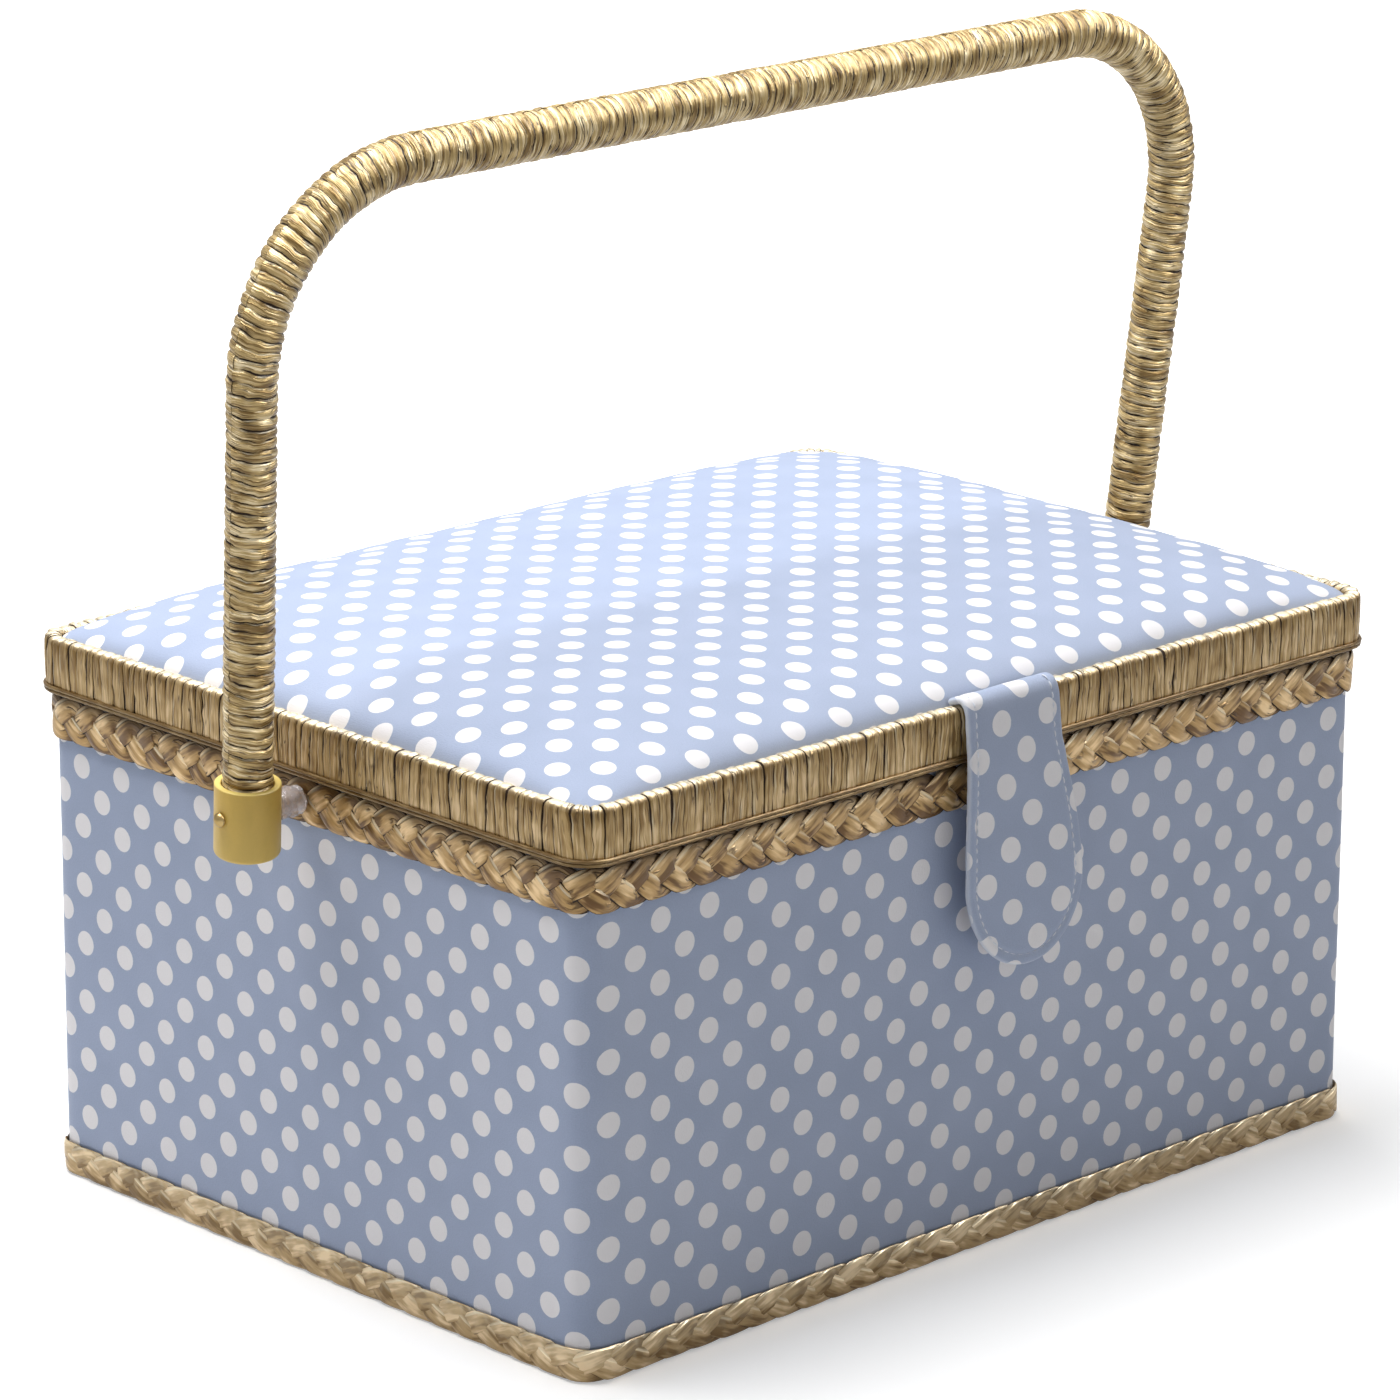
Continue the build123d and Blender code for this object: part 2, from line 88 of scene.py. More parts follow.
class Value:
    """A socket of a node; arithmetic on it adds the Math nodes that work it out."""

    def __init__(self, nodes, socket):
        self.nodes = nodes
        self.socket = socket

    __add__ = __radd__ = maths("ADD")
    __sub__ = maths("SUBTRACT")
    __rsub__ = maths("SUBTRACT", swapped=True)
    __mul__ = __rmul__ = maths("MULTIPLY")
    __truediv__ = maths("DIVIDE")
    __rtruediv__ = maths("DIVIDE", swapped=True)
    __abs__ = maths("ABSOLUTE")
    smallest = maths("MINIMUM")
    largest = maths("MAXIMUM")
    fraction = maths("FRACT")
    root = maths("SQRT")

    def part(self, number):
        """One of the three numbers of a place."""
        return self.nodes.node("ShaderNodeSeparateXYZ", {}, {0: self}, number)

    def ease(self, start, end):
        """0 up to start and 1 from end on, with a smooth step between them."""
        return self.nodes.node("ShaderNodeMapRange", {"interpolation_type": "SMOOTHSTEP"},
                               {0: self, 1: start, 2: end})


class Nodes:
    """A tree of nodes in the making."""

    def __init__(self, tree):
        self.tree = tree

    def feed(self, socket, value):
        """Links a worked-out value to a socket, or sets a plain one on it."""
        if isinstance(value, Value):
            self.tree.links.new(value.socket, socket)
        else:
            socket.default_value = value

    def node(self, kind, settings, inputs, output=0):
        """One node: its settings first, then the value or link of each input; gives an output."""
        made = self.tree.nodes.new(kind)
        for name, value in settings.items():
            setattr(made, name, value)
        for key, value in inputs.items():
            self.feed(made.inputs[key], value)
        return Value(self, made.outputs[output])

    def rays(self, kind):
        """1 for rays of that kind, and 0 for the others."""
        return self.node("ShaderNodeLightPath", {}, {}, "Is " + kind + " Ray")


class Recipe(Nodes):
    """A finish in the making: a material, its Principled shader and the nodes that feed it."""

    def __init__(self, name, **fixed):
        self.material = bpy.data.materials.new(name)
        self.material.use_nodes = True
        super().__init__(self.material.node_tree)
        self.shader = self.tree.nodes["Principled BSDF"]
        for socket, value in fixed.items():
            self.shader.inputs[socket.replace("_", " ")].default_value = value

    def coordinates(self, source="Object", stretch=(1, 1, 1)):
        """Object or UV coordinates in metres, times stretch."""
        place = self.node("ShaderNodeTexCoord", {}, {}, source)
        return self.node("ShaderNodeMapping", {}, {"Vector": place, "Scale": stretch})

    def noise(self, scale, detail=2.0, stretch=(1, 1, 1), source="Object"):
        place = self.coordinates(source, stretch)
        return self.node("ShaderNodeTexNoise", {}, {"Vector": place, "Scale": scale, "Detail": detail})

    def attribute(self, name):
        return self.node("ShaderNodeAttribute", {"attribute_name": name}, {}, "Fac")

    def mix(self, share, first, second):
        """The first colour where share is 0, the second where it is 1."""
        return self.node("ShaderNodeMix", {"data_type": "RGBA"}, {0: share, 6: first, 7: second}, 2)

    def finish(self, colour, roughness=None, height=None, depth=0.001):
        """Joins the colour, the roughness and the relief to the shader; gives the material."""
        if height is not None:
            relief = self.node("ShaderNodeBump", {}, {"Height": height, "Distance": depth, "Strength": 1.0})
            self.feed(self.shader.inputs["Normal"], relief)
        for name, value in (("Base Color", colour), ("Roughness", roughness)):
            if value is not None:
                self.feed(self.shader.inputs[name], value)
        return self.material


# The floor glows towards the camera, most of all away from the box, so only the shadow on it shows
bpy.ops.mesh.primitive_plane_add(size=8, location=(0, 0, -0.0002))
floor = bpy.context.object
floor.name = "studio_floor"
white_floor = Recipe("white studio floor", Emission_Color=(1, 1, 1, 1))
from_box = white_floor.node("ShaderNodeVectorMath", {"operation": "LENGTH"}, {0: white_floor.coordinates()},
                            "Value")
glow = (white_floor.rays("Camera") * (from_box.ease(0.25, 1.1) * 0.75 + 0.38)
        + white_floor.rays("Glossy") * 0.2)
white_floor.feed(white_floor.shader.inputs["Emission Strength"], glow)
floor.data.materials.append(white_floor.finish((0.72, 0.72, 0.72, 1), 0.9))


def soft_lamp(location, width, depth, energy, rotation):
    bpy.ops.object.light_add(type="AREA", location=location)
    lamp = bpy.context.object
    lamp.data.shape = "RECTANGLE"
    lamp.data.size = width
    lamp.data.size_y = depth
    lamp.data.energy = energy
    lamp.rotation_euler = rotation
    return lamp


soft_lamp((-0.13, 0.37, 1.50), 1.3, 0.9, 34, (math.radians(-14), math.radians(-5), 0))
# A second lamp, seen by shiny things alone, stands in front
glint_place = Vector((0.60, -0.60, 1.35))
glint_turn = (Vector((0, 0, 0.3)) - glint_place).to_track_quat("-Z", "Y").to_euler()
soft_lamp(glint_place, 1.3, 1.3, 50, glint_turn).visible_diffuse = False

world = bpy.data.worlds.new("plain studio")
world.use_nodes = True
bpy.context.scene.world = world
sky = Nodes(world.node_tree)
seen = sky.rays("Camera").largest(sky.rays("Glossy") * 0.4).largest(sky.rays("Transmission"))
ambient_light = 0.205
strength = sky.node("ShaderNodeMapRange", {}, {0: seen, 3: ambient_light, 4: 1.0})
background = world.node_tree.nodes["Background"]
sky.feed(background.inputs["Strength"], strength)
background.inputs["Color"].default_value = (1, 1, 1, 1)
bpy.context.scene.view_settings.view_transform = "Standard"


# Boards: the walls, base and lid are raw brown fibreboard under their fabric. The nodes
# keep the shapes they have.
def dress(material, *nodes):
    """Gives nodes of the frame their finish."""
    for node in nodes:
        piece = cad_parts[node]
        if not piece.material_slots:
            piece.data.materials.append(material)
        for material_slot in piece.material_slots:
            material_slot.material = material


fibreboard = Recipe("raw fibreboard", Roughness=0.85)
board_grain = fibreboard.noise(900, 5.0)
board_clouds = fibreboard.noise(40)
board_colour = fibreboard.mix((board_grain * 0.7 + board_clouds * 0.3).ease(0.35, 0.65),
                              (0.24, 0.15, 0.085, 1), (0.40, 0.28, 0.17, 1))
dress(fibreboard.finish(board_colour, height=board_grain, depth=0.0002),
      "base_board", "front_wall", "back_wall", "left_wall", "right_wall", "lid_board")


# Linings: cream woven cotton glued on the lining boards and round the lid's rails, a thin
# padded floor, and a grey paper sheet under the base.
lining_cotton = Recipe("cream lining cotton", Roughness=0.85, Sheen_Weight=0.2)
lining_warp = lining_cotton.noise(1600, stretch=(1, 1, 0.04))
lining_weft = lining_cotton.noise(1600, stretch=(0.04, 0.04, 1))
lining_thread = lining_warp * 0.5 + lining_weft * 0.5
lining_stains = lining_cotton.noise(25)
lining_colour = lining_cotton.mix((lining_thread * 0.9 + lining_stains * 0.1).ease(0.4, 0.62),
                                  (0.73, 0.67, 0.56, 1), (0.83, 0.78, 0.68, 1))
lining_cotton = lining_cotton.finish(lining_colour, height=lining_thread, depth=0.00025)
dress(lining_cotton, "front_liner", "back_liner", "left_liner", "right_liner", "lid_frame")


def grained(name, dark, light, depth, scale, detail=2.0, stretch=(1, 1, 1), **fixed):
    """A finish whose two tones and whose relief follow one grain."""
    recipe = Recipe(name, **fixed)
    grain = recipe.noise(scale, detail, stretch)
    return recipe.finish(recipe.mix(grain, dark, light), height=grain, depth=depth)


dress(grained("grey base paper", (0.16, 0.16, 0.17, 1), (0.24, 0.24, 0.25, 1), 0.0001, 500, 6.0,
              Roughness=0.9), "base_sheet")


def mark(piece, name, values):
    """Stores one number per point, for the piece's material."""
    attribute = piece.data.attributes.new(name, "FLOAT", "POINT")
    attribute.data.foreach_set("value", np.asarray(values, np.float32))


def points_of(piece):
    """Where the piece's points are, one row each."""
    flat = np.empty(len(piece.data.vertices) * 3, np.float32)
    piece.data.vertices.foreach_get("co", flat)
    return flat.reshape(-1, 3)


def edit(piece):
    """Opens this piece alone in edit mode, with all of it selected."""
    bpy.ops.object.select_all(action="DESELECT")
    piece.select_set(True)
    bpy.context.view_layer.objects.active = piece
    bpy.ops.object.mode_set(mode="EDIT")
    bpy.ops.mesh.select_all(action="SELECT")


def laid_sheet(name, columns, rows, lay):
    """A grid of quads, each point laid at its place by lay(u, v). That also gives two lengths
    for the pattern, and may give numbers for the material; edges that meet are joined."""
    bpy.ops.mesh.primitive_grid_add(x_subdivisions=columns, y_subdivisions=rows, size=1)
    piece = bpy.context.object
    piece.name = piece.data.name = name
    mesh = piece.data
    grid = points_of(piece).astype(float) + 0.5
    points, pattern, *marks = lay(grid[:, 0], grid[:, 1])
    mesh.vertices.foreach_set("co", points.astype(np.float32).ravel())
    corners = np.empty(len(mesh.loops), np.int32)
    mesh.loops.foreach_get("vertex_index", corners)
    pattern = np.column_stack(pattern)[corners]
    mesh.uv_layers.active.data.foreach_set("uv", pattern.astype(np.float32).ravel())
    for word, values in (marks[0] if marks else {}).items():
        mark(piece, word, values)
    edit(piece)
    bpy.ops.mesh.remove_doubles(threshold=0.00002)
    bpy.ops.object.mode_set(mode="OBJECT")
    bpy.ops.object.shade_smooth()
    return piece


def settle(piece, material, body, slot, *nodes):
    """Gives a piece its finish and its body, and hides the nodes that it stands for. Its slot is not used."""
    piece.data.materials.append(material)
    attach(piece, body)
    if nodes:
        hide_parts(*nodes)


class Outline:
    """A rounded rectangle, followed from the middle of its back edge towards the left end:
    half the back, then corners and sides by turns."""

    def __init__(self, length, depth, corner):
        long_side = length - 2 * corner
        short_side = depth - 2 * corner
        bend = math.pi / 2 * corner
        legs = [long_side / 2, bend, short_side, bend, long_side, bend, short_side, bend, long_side / 2]
        left, front = -length / 2, -depth / 2
        self.corner = corner
        self.starts = np.concatenate([[0], np.cumsum(legs)])
        self.length = self.starts[-1]
        self.headings = np.radians([180, 180, 270, 270, 360, 360, 450, 450, 540])
        self.places = np.array([
            (0, -front), (left + corner, -front), (left, -front - corner), (left, front + corner),
            (left + corner, front), (-left - corner, front), (-left, front + corner),
            (-left, -front - corner), (-left - corner, -front)])

    def lap(self, way):
        """Points and outward directions, way metres round."""
        way = np.mod(way, self.length)
        leg = np.clip(np.searchsorted(self.starts, way, side="right") - 1, 0, len(self.places) - 1)
        along = way - self.starts[leg]
        bending = leg % 2 == 1
        before = self.headings[leg]
        heading = before + np.where(bending, along / self.corner, 0)
        outward = np.stack([np.sin(heading), -np.cos(heading)], -1)
        ahead = np.stack([np.cos(before), np.sin(before)], -1)
        straight = self.places[leg] + ahead * along[:, None]
        bent = self.places[leg] + self.corner * (outward - np.stack([np.sin(before), -np.cos(before)], -1))
        return np.where(bending[:, None], bent, straight), outward


def wander(points, length, seed):
    """A smooth, seeded wander between about -1 and 1, with humps about length apart."""
    dice = np.random.default_rng(seed)
    total = np.zeros(len(points))
    for _ in range(8):
        direction = dice.normal(size=points.shape[1])
        direction *= dice.uniform(0.7, 1.5) * 2 * math.pi / length / np.linalg.norm(direction)
        total += np.sin(points @ direction + dice.uniform(0, 2 * math.pi))
    return total / 4


def stuffed_form(name, node, corner, seam_share, squareness, wobble, seed):
    """A closed pad in a node's box, drawn in at its edge and full in the middle. Its seam runs
    round at seam_share of its height."""
    low, high = (np.array(end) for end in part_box(node))
    middle = (low + high) / 2
    size = high - low
    edge = Outline(size[0], size[1], corner)
    seam_z = low[2] + seam_share * size[2]

    def lay(around, across):
        outline = edge.lap(around * edge.length)[0]
        reach = np.sin(np.pi / 2 * (1 - np.abs(2 * across - 1)))
        fullness = (1 - reach ** squareness) ** 0.5
        rise = np.where(across > 0.5, high[2] - seam_z, low[2] - seam_z)
        flat = outline * reach[:, None] + middle[:2]
        rise = rise * fullness - np.sign(rise) * wobble * fullness * (1 + wander(flat, 0.03, seed)) / 2
        return np.column_stack([flat, seam_z + rise]), flat.T

    return laid_sheet(name, 120, 28, lay)


floor_cushion = stuffed_form("floor_lining", "floor_pad", 0.004, 0.3, 60, 0.0003, 3)
settle(floor_cushion, lining_cotton, "box", "lining", "floor_pad")


# Fabric cover: one length of cotton with printed white dots, glued round the walls from a
# seam at the back, turned under the base and over the top edge.
dot_column = 17.65
dot_row = 17.5


def dotted_cotton():
    """Light blue cotton, dots in staggered rows. The UV's lengths are metres, the dots' millimetres."""
    cloth = Recipe("dotted cotton", Roughness=0.78, Sheen_Weight=0.15)
    place = cloth.coordinates("UV", (1000, 1000, 1000))

    def from_dot(shift):
        sideways = ((place.part(0) / dot_column + shift).fraction() - 0.5) * dot_column
        upward = ((place.part(1) / dot_row + shift).fraction() - 0.5) * dot_row
        return (sideways * sideways + upward * upward).root()

    fibres = cloth.noise(2600, 3.0, source="UV")
    clouds = cloth.noise(45, source="UV")
    inside_dot = (from_dot(0.5).smallest(from_dot(1.0)) + fibres * 0.25).ease(3.78, 3.62)
    ground = cloth.mix((fibres * 0.6 + clouds * 0.4).ease(0.3, 0.7),
                       (0.334, 0.400, 0.560, 1), (0.390, 0.458, 0.630, 1))
    colour = cloth.mix(inside_dot, ground, (0.885, 0.868, 0.89, 1))
    # Paler where a piece marks it, as along the tongue's folded edge and seam
    colour = cloth.mix(cloth.attribute("worn"), colour, (0.66, 0.71, 0.81, 1))
    weave = cloth.noise(2200, 2.0, (1, 0.35, 1), "UV") * 0.6 + fibres * 0.4
    return cloth.finish(colour, height=weave, depth=0.00016)


def part_way(share, values):
    """The value that lies a share of the way through a row of them."""
    return np.interp(share * (len(values) - 1), np.arange(len(values)), values)


def lengths_along(line):
    """How far along a line each of its points is."""
    return np.concatenate([[0], np.cumsum(np.hypot(*np.diff(line, axis=0).T))])


cotton_print = dotted_cotton()
cover_low, cover_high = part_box("body_cover")
cover_outline = Outline(cover_high.x - cover_low.x, cover_high.y - cover_low.y, 0.008)
cover_round = cover_outline.length
# How far in and how high the cloth runs, from under the base to inside the top edge
cover_profile = np.array([(-0.0045, 0.0012), (-0.0008, 0.0012), (0, 0.0022), (0, 0.1428),
                          (-0.0002, 0.1434), (-0.0009, 0.1438), (-0.0033, 0.1438), (-0.004, 0.1434),
                          (-0.0042, 0.1425), (-0.0042, 0.121)])
cover_reach = lengths_along(cover_profile)
cover_rows = np.concatenate([cover_reach[:3], np.linspace(cover_reach[2], cover_reach[3], 58)[1:-1],
                             cover_reach[3:]])
# The print's length at some places round the walls: it gives a little at the corners
end_start, end_finish, front_start = cover_outline.starts[2:5]
end_middle = (end_start + end_finish) / 2
print_ways = [0, end_middle - 0.035, end_middle + 0.092, front_start + 0.012, cover_round]
print_marks = [-print_ways[1], 0, 0.127, 0.1609, 0.1609 + cover_round - print_ways[3]]
print_foot = 0.0104


def cover_place(u, v):
    outline, outward = cover_outline.lap(u * cover_round)
    reach = part_way(v, cover_rows)
    inset, height = (np.interp(reach, cover_reach, column) for column in cover_profile.T)
    points = np.column_stack([outline, height])
    loose = np.clip((height - 0.01) / 0.02, 0, 1) * np.clip((0.13 - height) / 0.02, 0, 1) * (inset > -0.0005)
    points[:, :2] += outward * (inset + 0.0002 * loose * wander(points, 0.08, 5))[:, None]
    printed = np.interp(u * cover_round, print_ways, print_marks)
    return points, (printed, height - print_foot)


cover = laid_sheet("dotted_cover", 420, len(cover_rows) - 1, cover_place)
settle(cover, cotton_print, "box", "dotted_fabric", "body_cover")


# Raffia plaits: three strands of flat straw plaited into a ribbon, glued over the cover's
# top edge and round its foot. Their lower edges show the strands' loops.
strip_measure = 0.003


def straw(name, pale, mid, dark, streak, gloss, depth):
    """Shiny flat straw, its strips numbered by the UV's second coordinate in strip measures:
    streaks along the fibre, a colour of its own for each strip with painted shading across
    and under the strands, painted shade along the slits where a gap opens beside the next
    strip, a painted highlight along the strip's own edge, painted shade in fine creased
    lines and in the hollows, and painted highlights on top edges and folds."""
    fibre = Recipe(name, Coat_Weight=gloss, Coat_Roughness=0.2, Specular_IOR_Level=0.3, Metallic=0.4)
    gap = fibre.attribute("gap")
    streaks = fibre.noise(1, 2.0, (40, streak, 1), "UV")
    hairs = fibre.noise(1, 2.0, (150, streak * 2.4, 1), "UV")
    blotches = fibre.noise(150, 1.0, source="UV")
    share = (fibre.coordinates("UV").part(1) / strip_measure).fraction()
    # Painted shade in fine creased lines, and along the slit where a gap opens between strips
    crease_shade = abs(fibre.noise(1, 1.0, (90, 800, 1), "UV") - 0.5).ease(0.04, 0.0)
    crease_shade = crease_shade * streaks.ease(0.4, 0.55) * gap.ease(0.4, 0.7)
    slit_shade = (abs(share - 0.5) * 2 + gap * 0.2 - 1 + streaks * 0.05).ease(0.02, 0.07)
    # A painted highlight on the strip's own edge, beside the slit
    ridge = abs(share - 0.13).ease(0.09, 0.02) * fibre.attribute("ridge")
    lines = (streaks * 0.6 + hairs * 0.4 - 0.5) * 1.7
    light = lines + (blotches - 0.5) * 0.6 + fibre.attribute("tone") * 0.15 + 0.5
    colour = fibre.mix(light.ease(0.30, 0.52), dark, mid)
    colour = fibre.mix(light.ease(0.52, 0.80), colour, pale)
    # Painted highlights on top edges, folds and strip edges first, then painted shade in the hollows, the
    # creased lines and the slits
    for shown, tint in ((fibre.attribute("bleached") + ridge * 0.8, (1.0, 0.92, 0.70, 1)),
                        (fibre.attribute("hollow"), (0.05, 0.024, 0.006, 1)),
                        (crease_shade * 0.75, (0.07, 0.034, 0.009, 1)),
                        (slit_shade, (0.03, 0.013, 0.003, 1))):
        colour = fibre.mix(shown, colour, tint)
    relief = streaks * 0.7 + hairs * 0.3 + ridge * 0.5 - slit_shade * 0.8 - crease_shade * 0.5
    return fibre.finish(colour, streaks * 0.24 + 0.28 + slit_shade * 0.3, relief, depth)


def join_pieces(name, pieces):
    """Several meshes made one piece."""
    bpy.ops.object.select_all(action="DESELECT")
    for piece in pieces:
        piece.select_set(True)
    bpy.context.view_layer.objects.active = pieces[0]
    bpy.ops.object.join()
    pieces[0].name = pieces[0].data.name = name
    return pieces[0]


def softened(values, power):
    """Values between -1 and 1, each drawn out from 0."""
    return np.sign(values) * np.abs(values) ** power


def bell(values, middle, width):
    """A smooth hump, 1 at its middle."""
    return np.exp(-((values - middle) / width) ** 2)


def plait(name, node, repeats, strand_width, zigzag, shade, fullness, material, seed):
    """Three flat strands that zigzag round the box, one third of a turn apart, each folded over
    where it meets the ribbon's edge. Shade darkens the ribbon's top, which lies under the lid."""
    low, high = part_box(node)
    thickness = 0.0022
    corner = 0.0102
    ring = Outline(high.x - low.x - thickness, high.y - low.y - thickness, corner - thickness / 2)
    middle_z = (low.z + high.z) / 2
    half_height = (high.z - low.z) / 2
    pointed = 0.96
    fold_from = 0.86
    # How strong the painted highlight on the upper folds is: faint on the top ribbon, which lies under the
    # lid
    bleached = 0.1 if shade else 0.6

    def strand_place(number, u, v):
        way = u * ring.length
        spot = np.column_stack([ring.lap(way)[0], np.zeros(len(u))]) * 8
        phase = 2 * np.pi * (u * repeats + number / 3) + 0.2 * wander(spot, 0.2, seed + number)
        bent = pointed * np.sin(phase)
        wave = zigzag * np.arcsin(bent) * 2 / np.pi
        slope = zigzag * pointed * np.cos(phase) / np.sqrt(1 - bent ** 2) * 4 * repeats / ring.length
        lean = np.arctan(slope)
        across = softened(np.cos(2 * np.pi * v), 0.6)
        flat = softened(np.sin(2 * np.pi * v), 0.5)
        under = np.sin(2 * phase)
        sideways = across * strand_width / 2 * (1 + 0.05 * wander(spot, 0.3, seed + 9 + number))
        folds = wander(np.column_stack([spot[:, :2] * 0.5, sideways * 300]), 0.5, seed + 5 + number)
        height = wave + np.cos(lean) * sideways
        edge_height = half_height * (0.95 + 0.05 * np.sin(phase) * np.sign(height))
        beyond = np.clip(np.abs(height) / edge_height - fold_from, 0, None)
        turned_in = edge_height * (fold_from + 0.14 * np.tanh(beyond / 0.14))
        folded = np.where(beyond > 0, turned_in, np.abs(height))
        # Over and under the others, creased, crowned, as thick as straw, and set back at the fold
        out = 0.00044 * under + 0.00012 * folds * (flat > 0.1)
        out = out + 0.00032 * (1 - (across + 0.15) ** 2) * (flat > 0)
        out = (out + 0.00022 * flat) * fullness - 0.0005 * np.clip(beyond, 0, 1.2) ** 0.7 - 0.0001
        outline, outward = ring.lap(way - np.sin(lean) * sideways)
        points = np.column_stack([outline + outward * out[:, None], middle_z + np.sign(height) * folded])
        # Painted shade at the ribbon's top under the lid and where a strand runs under the others; painted
        # light and shade across each strand, lighter over the crossings; painted highlights on the strands'
        # edges and on the upper folds
        shaded = shade * np.clip((height / half_height - 0.5) / 0.4, 0, 1)
        tone = 0.6 * wander(spot, 0.35, seed + 20 + number) + (0.3 * under + 0.7 * across) * fullness
        marks = {"hollow": np.clip(0.4 * np.clip(-under - 0.3, 0, 1) * fullness + shaded, 0, 0.9),
                 "tone": tone + 0.5 * folds,
                 "gap": np.clip(0.9 - 0.6 * under, 0.3, 1) * fullness ** 2,
                 "ridge": np.clip(0.2 + 0.4 * under + 0.4 * folds, 0, 1) * fullness,
                 "bleached": bleached * bell(beyond, 0.12, 0.09) * (height > 0)}
        return points, (way, (number + 0.5 - across / 2) * strip_measure), marks

    strands = [laid_sheet(name + str(number), repeats * 28, 18, partial(strand_place, number))
               for number in range(3)]
    settle(join_pieces(name, strands), material, "box", "raffia", node)


top_straw = straw("plaited straw", (0.90, 0.65, 0.35, 1), (0.49, 0.305, 0.115, 1), (0.15, 0.072, 0.018, 1),
                  650, 0.3, 0.0010)
foot_straw = straw("foot straw", (0.88, 0.68, 0.42, 1), (0.50, 0.345, 0.165, 1), (0.24, 0.145, 0.052, 1),
                   650, 0.25, 0.0008)
plait("top_plait", "upper_plait", 38, 0.0070, 0.0050, 0.75, 1.0, top_straw, 11)
plait("foot_plait", "lower_plait", 33, 0.0064, 0.0037, 0, 0.62, foot_straw, 51)


# Lid rim: flat straw wound side by side over the rails, pulled over the top edge and tucked
# under below, where two thin straw cords cover the ends.
rim_straw = straw("rim straw", (0.71, 0.525, 0.295, 1), (0.455, 0.308, 0.128, 1), (0.26, 0.155, 0.050, 1),
                  1100, 0.2, 0.0006)
rim_low, rim_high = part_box("lid_rim_wrap")
rim_outline = Outline(rim_high.x - rim_low.x, rim_high.y - rim_low.y, 0.010)
rim_round = rim_outline.length
strip_count = 318
strip_columns = 12
strip_dice = np.random.default_rng(17)
strip_widths = strip_dice.uniform(0.6, 1.6, strip_count)
strip_edges = np.concatenate([[0], np.cumsum(strip_widths)]) * rim_round / strip_widths.sum()
strip_tones = strip_dice.uniform(-0.5, 0.5, strip_count)
strip_stands = strip_dice.uniform(-1, 1, strip_count)
strip_leans = strip_dice.normal(0, 0.5, strip_count)
strip_gaps = strip_dice.uniform(0.15, 1, strip_count + 1)
crease_places = strip_dice.uniform(0.3, 0.7, strip_count)
crease_depths = strip_dice.uniform(-0.7, 1, strip_count).clip(0)
crease_starts = strip_dice.uniform(-0.004, 0.012, strip_count)
# From under the pad, over the top edge, down the outside and under: distance out, height
strip_profile = np.array([(-0.0046, -0.0012), (-0.0040, -0.0001), (-0.0030, 0.0003), (-0.0012, 0.0002),
                          (-0.0003, -0.0003), (0, -0.0013), (0.0001, -0.004), (0.0001, -0.007),
                          (0, -0.010), (-0.0001, -0.013), (-0.0003, -0.0146), (-0.0012, -0.0154),
                          (-0.0030, -0.0154)])


def rim_place(u, v):
    """Round the rim with u, strip after strip, and along the strips with v."""
    cell = u * strip_count * strip_columns
    strip = np.clip((cell / strip_columns).astype(int), 0, strip_count - 1)
    share = cell / strip_columns - strip
    share = share - 0.11 * np.sin(2 * np.pi * share)
    inset, drop, length = (part_way(v, column) for column in (*strip_profile.T, lengths_along(strip_profile)))
    way = strip_edges[strip] + share * (strip_edges[strip + 1] - strip_edges[strip])
    lean = 0.0009 * np.interp(u, (np.arange(strip_count) + 0.5) / strip_count, strip_leans)
    way = way + lean * (drop + 0.008) / 0.008
    bow = 0.00022 * wander(np.column_stack([way, drop * 0.7]), 0.004, 72)
    way = way + bow * (np.abs(drop + 0.0075) < 0.0065)
    gap = np.where(share < 0.5, strip_gaps[strip], strip_gaps[strip + 1])
    beside = np.column_stack([(strip + (share > 0.5)) * 0.37, drop * 60])
    opening = np.clip(wander(beside, 0.6, 73), 0, 1) * gap
    fading = np.clip(1.15 - (-drop / 0.015) * (1.2 - gap), 0.2, 1)
    valley = bell(np.abs(share - 0.5), 0.5, 0.05 + 0.11 * opening) * (0.4 + 0.6 * gap) * fading
    creased = crease_depths[strip] * (np.abs(-drop - crease_starts[strip]) < 0.006)
    crease = bell(share, crease_places[strip], 0.08) * creased
    crown = 1 - (2 * share - 1) ** 2
    over_edge = bell(drop, -0.0003, 0.0014)
    outline, outward = rim_outline.lap(way)
    # Each strip stands at its own height, sinks towards its neighbours and is creased
    out = inset + 0.00016 * strip_stands[strip] - 0.00075 * valley - 0.0003 * crease
    out = out + over_edge * (0.00035 * crown - 0.0003)
    up = 0.0006 * crown - 0.0003 + 0.00025 * strip_stands[strip] - 0.0004 * valley
    points = np.column_stack([outline + outward * out[:, None], rim_high.z + drop + over_edge * up])
    # Each strip's colour varies at random and runs darker just below the top edge, lighter further down;
    # painted shade lies in the valleys and creases, and a painted highlight along some strip edges and on the
    # caps over the top edge
    tone = 0.5 * strip_tones[strip] + 0.35 * wander(points * np.array([1, 1, 0.1]), 0.007, 71)
    marks = {"tone": tone + 0.5 - 1.3 * np.exp(-np.abs(drop + 0.0012) / 0.0045),
             "hollow": np.clip(0.5 * valley + 0.5 * crease, 0, 1),
             "gap": np.clip((0.55 + 0.9 * opening) * fading, 0, 1),
             "ridge": 0.6 * np.clip(wander(np.column_stack([strip * 0.41, drop * 60]), 0.5, 74), 0, 1),
             "bleached": 0.75 * np.clip((drop + 0.0004) / 0.0005, 0, 1) * np.clip(crown + 0.3, 0, 1)}
    return points, (length + strip_tones[strip] * 3, (strip + share) * strip_measure), marks


rim_strips = laid_sheet("wound_rim", strip_count * strip_columns, len(strip_profile) - 1, rim_place)
settle(rim_strips, rim_straw, "lid", "raffia", "lid_rim_wrap")


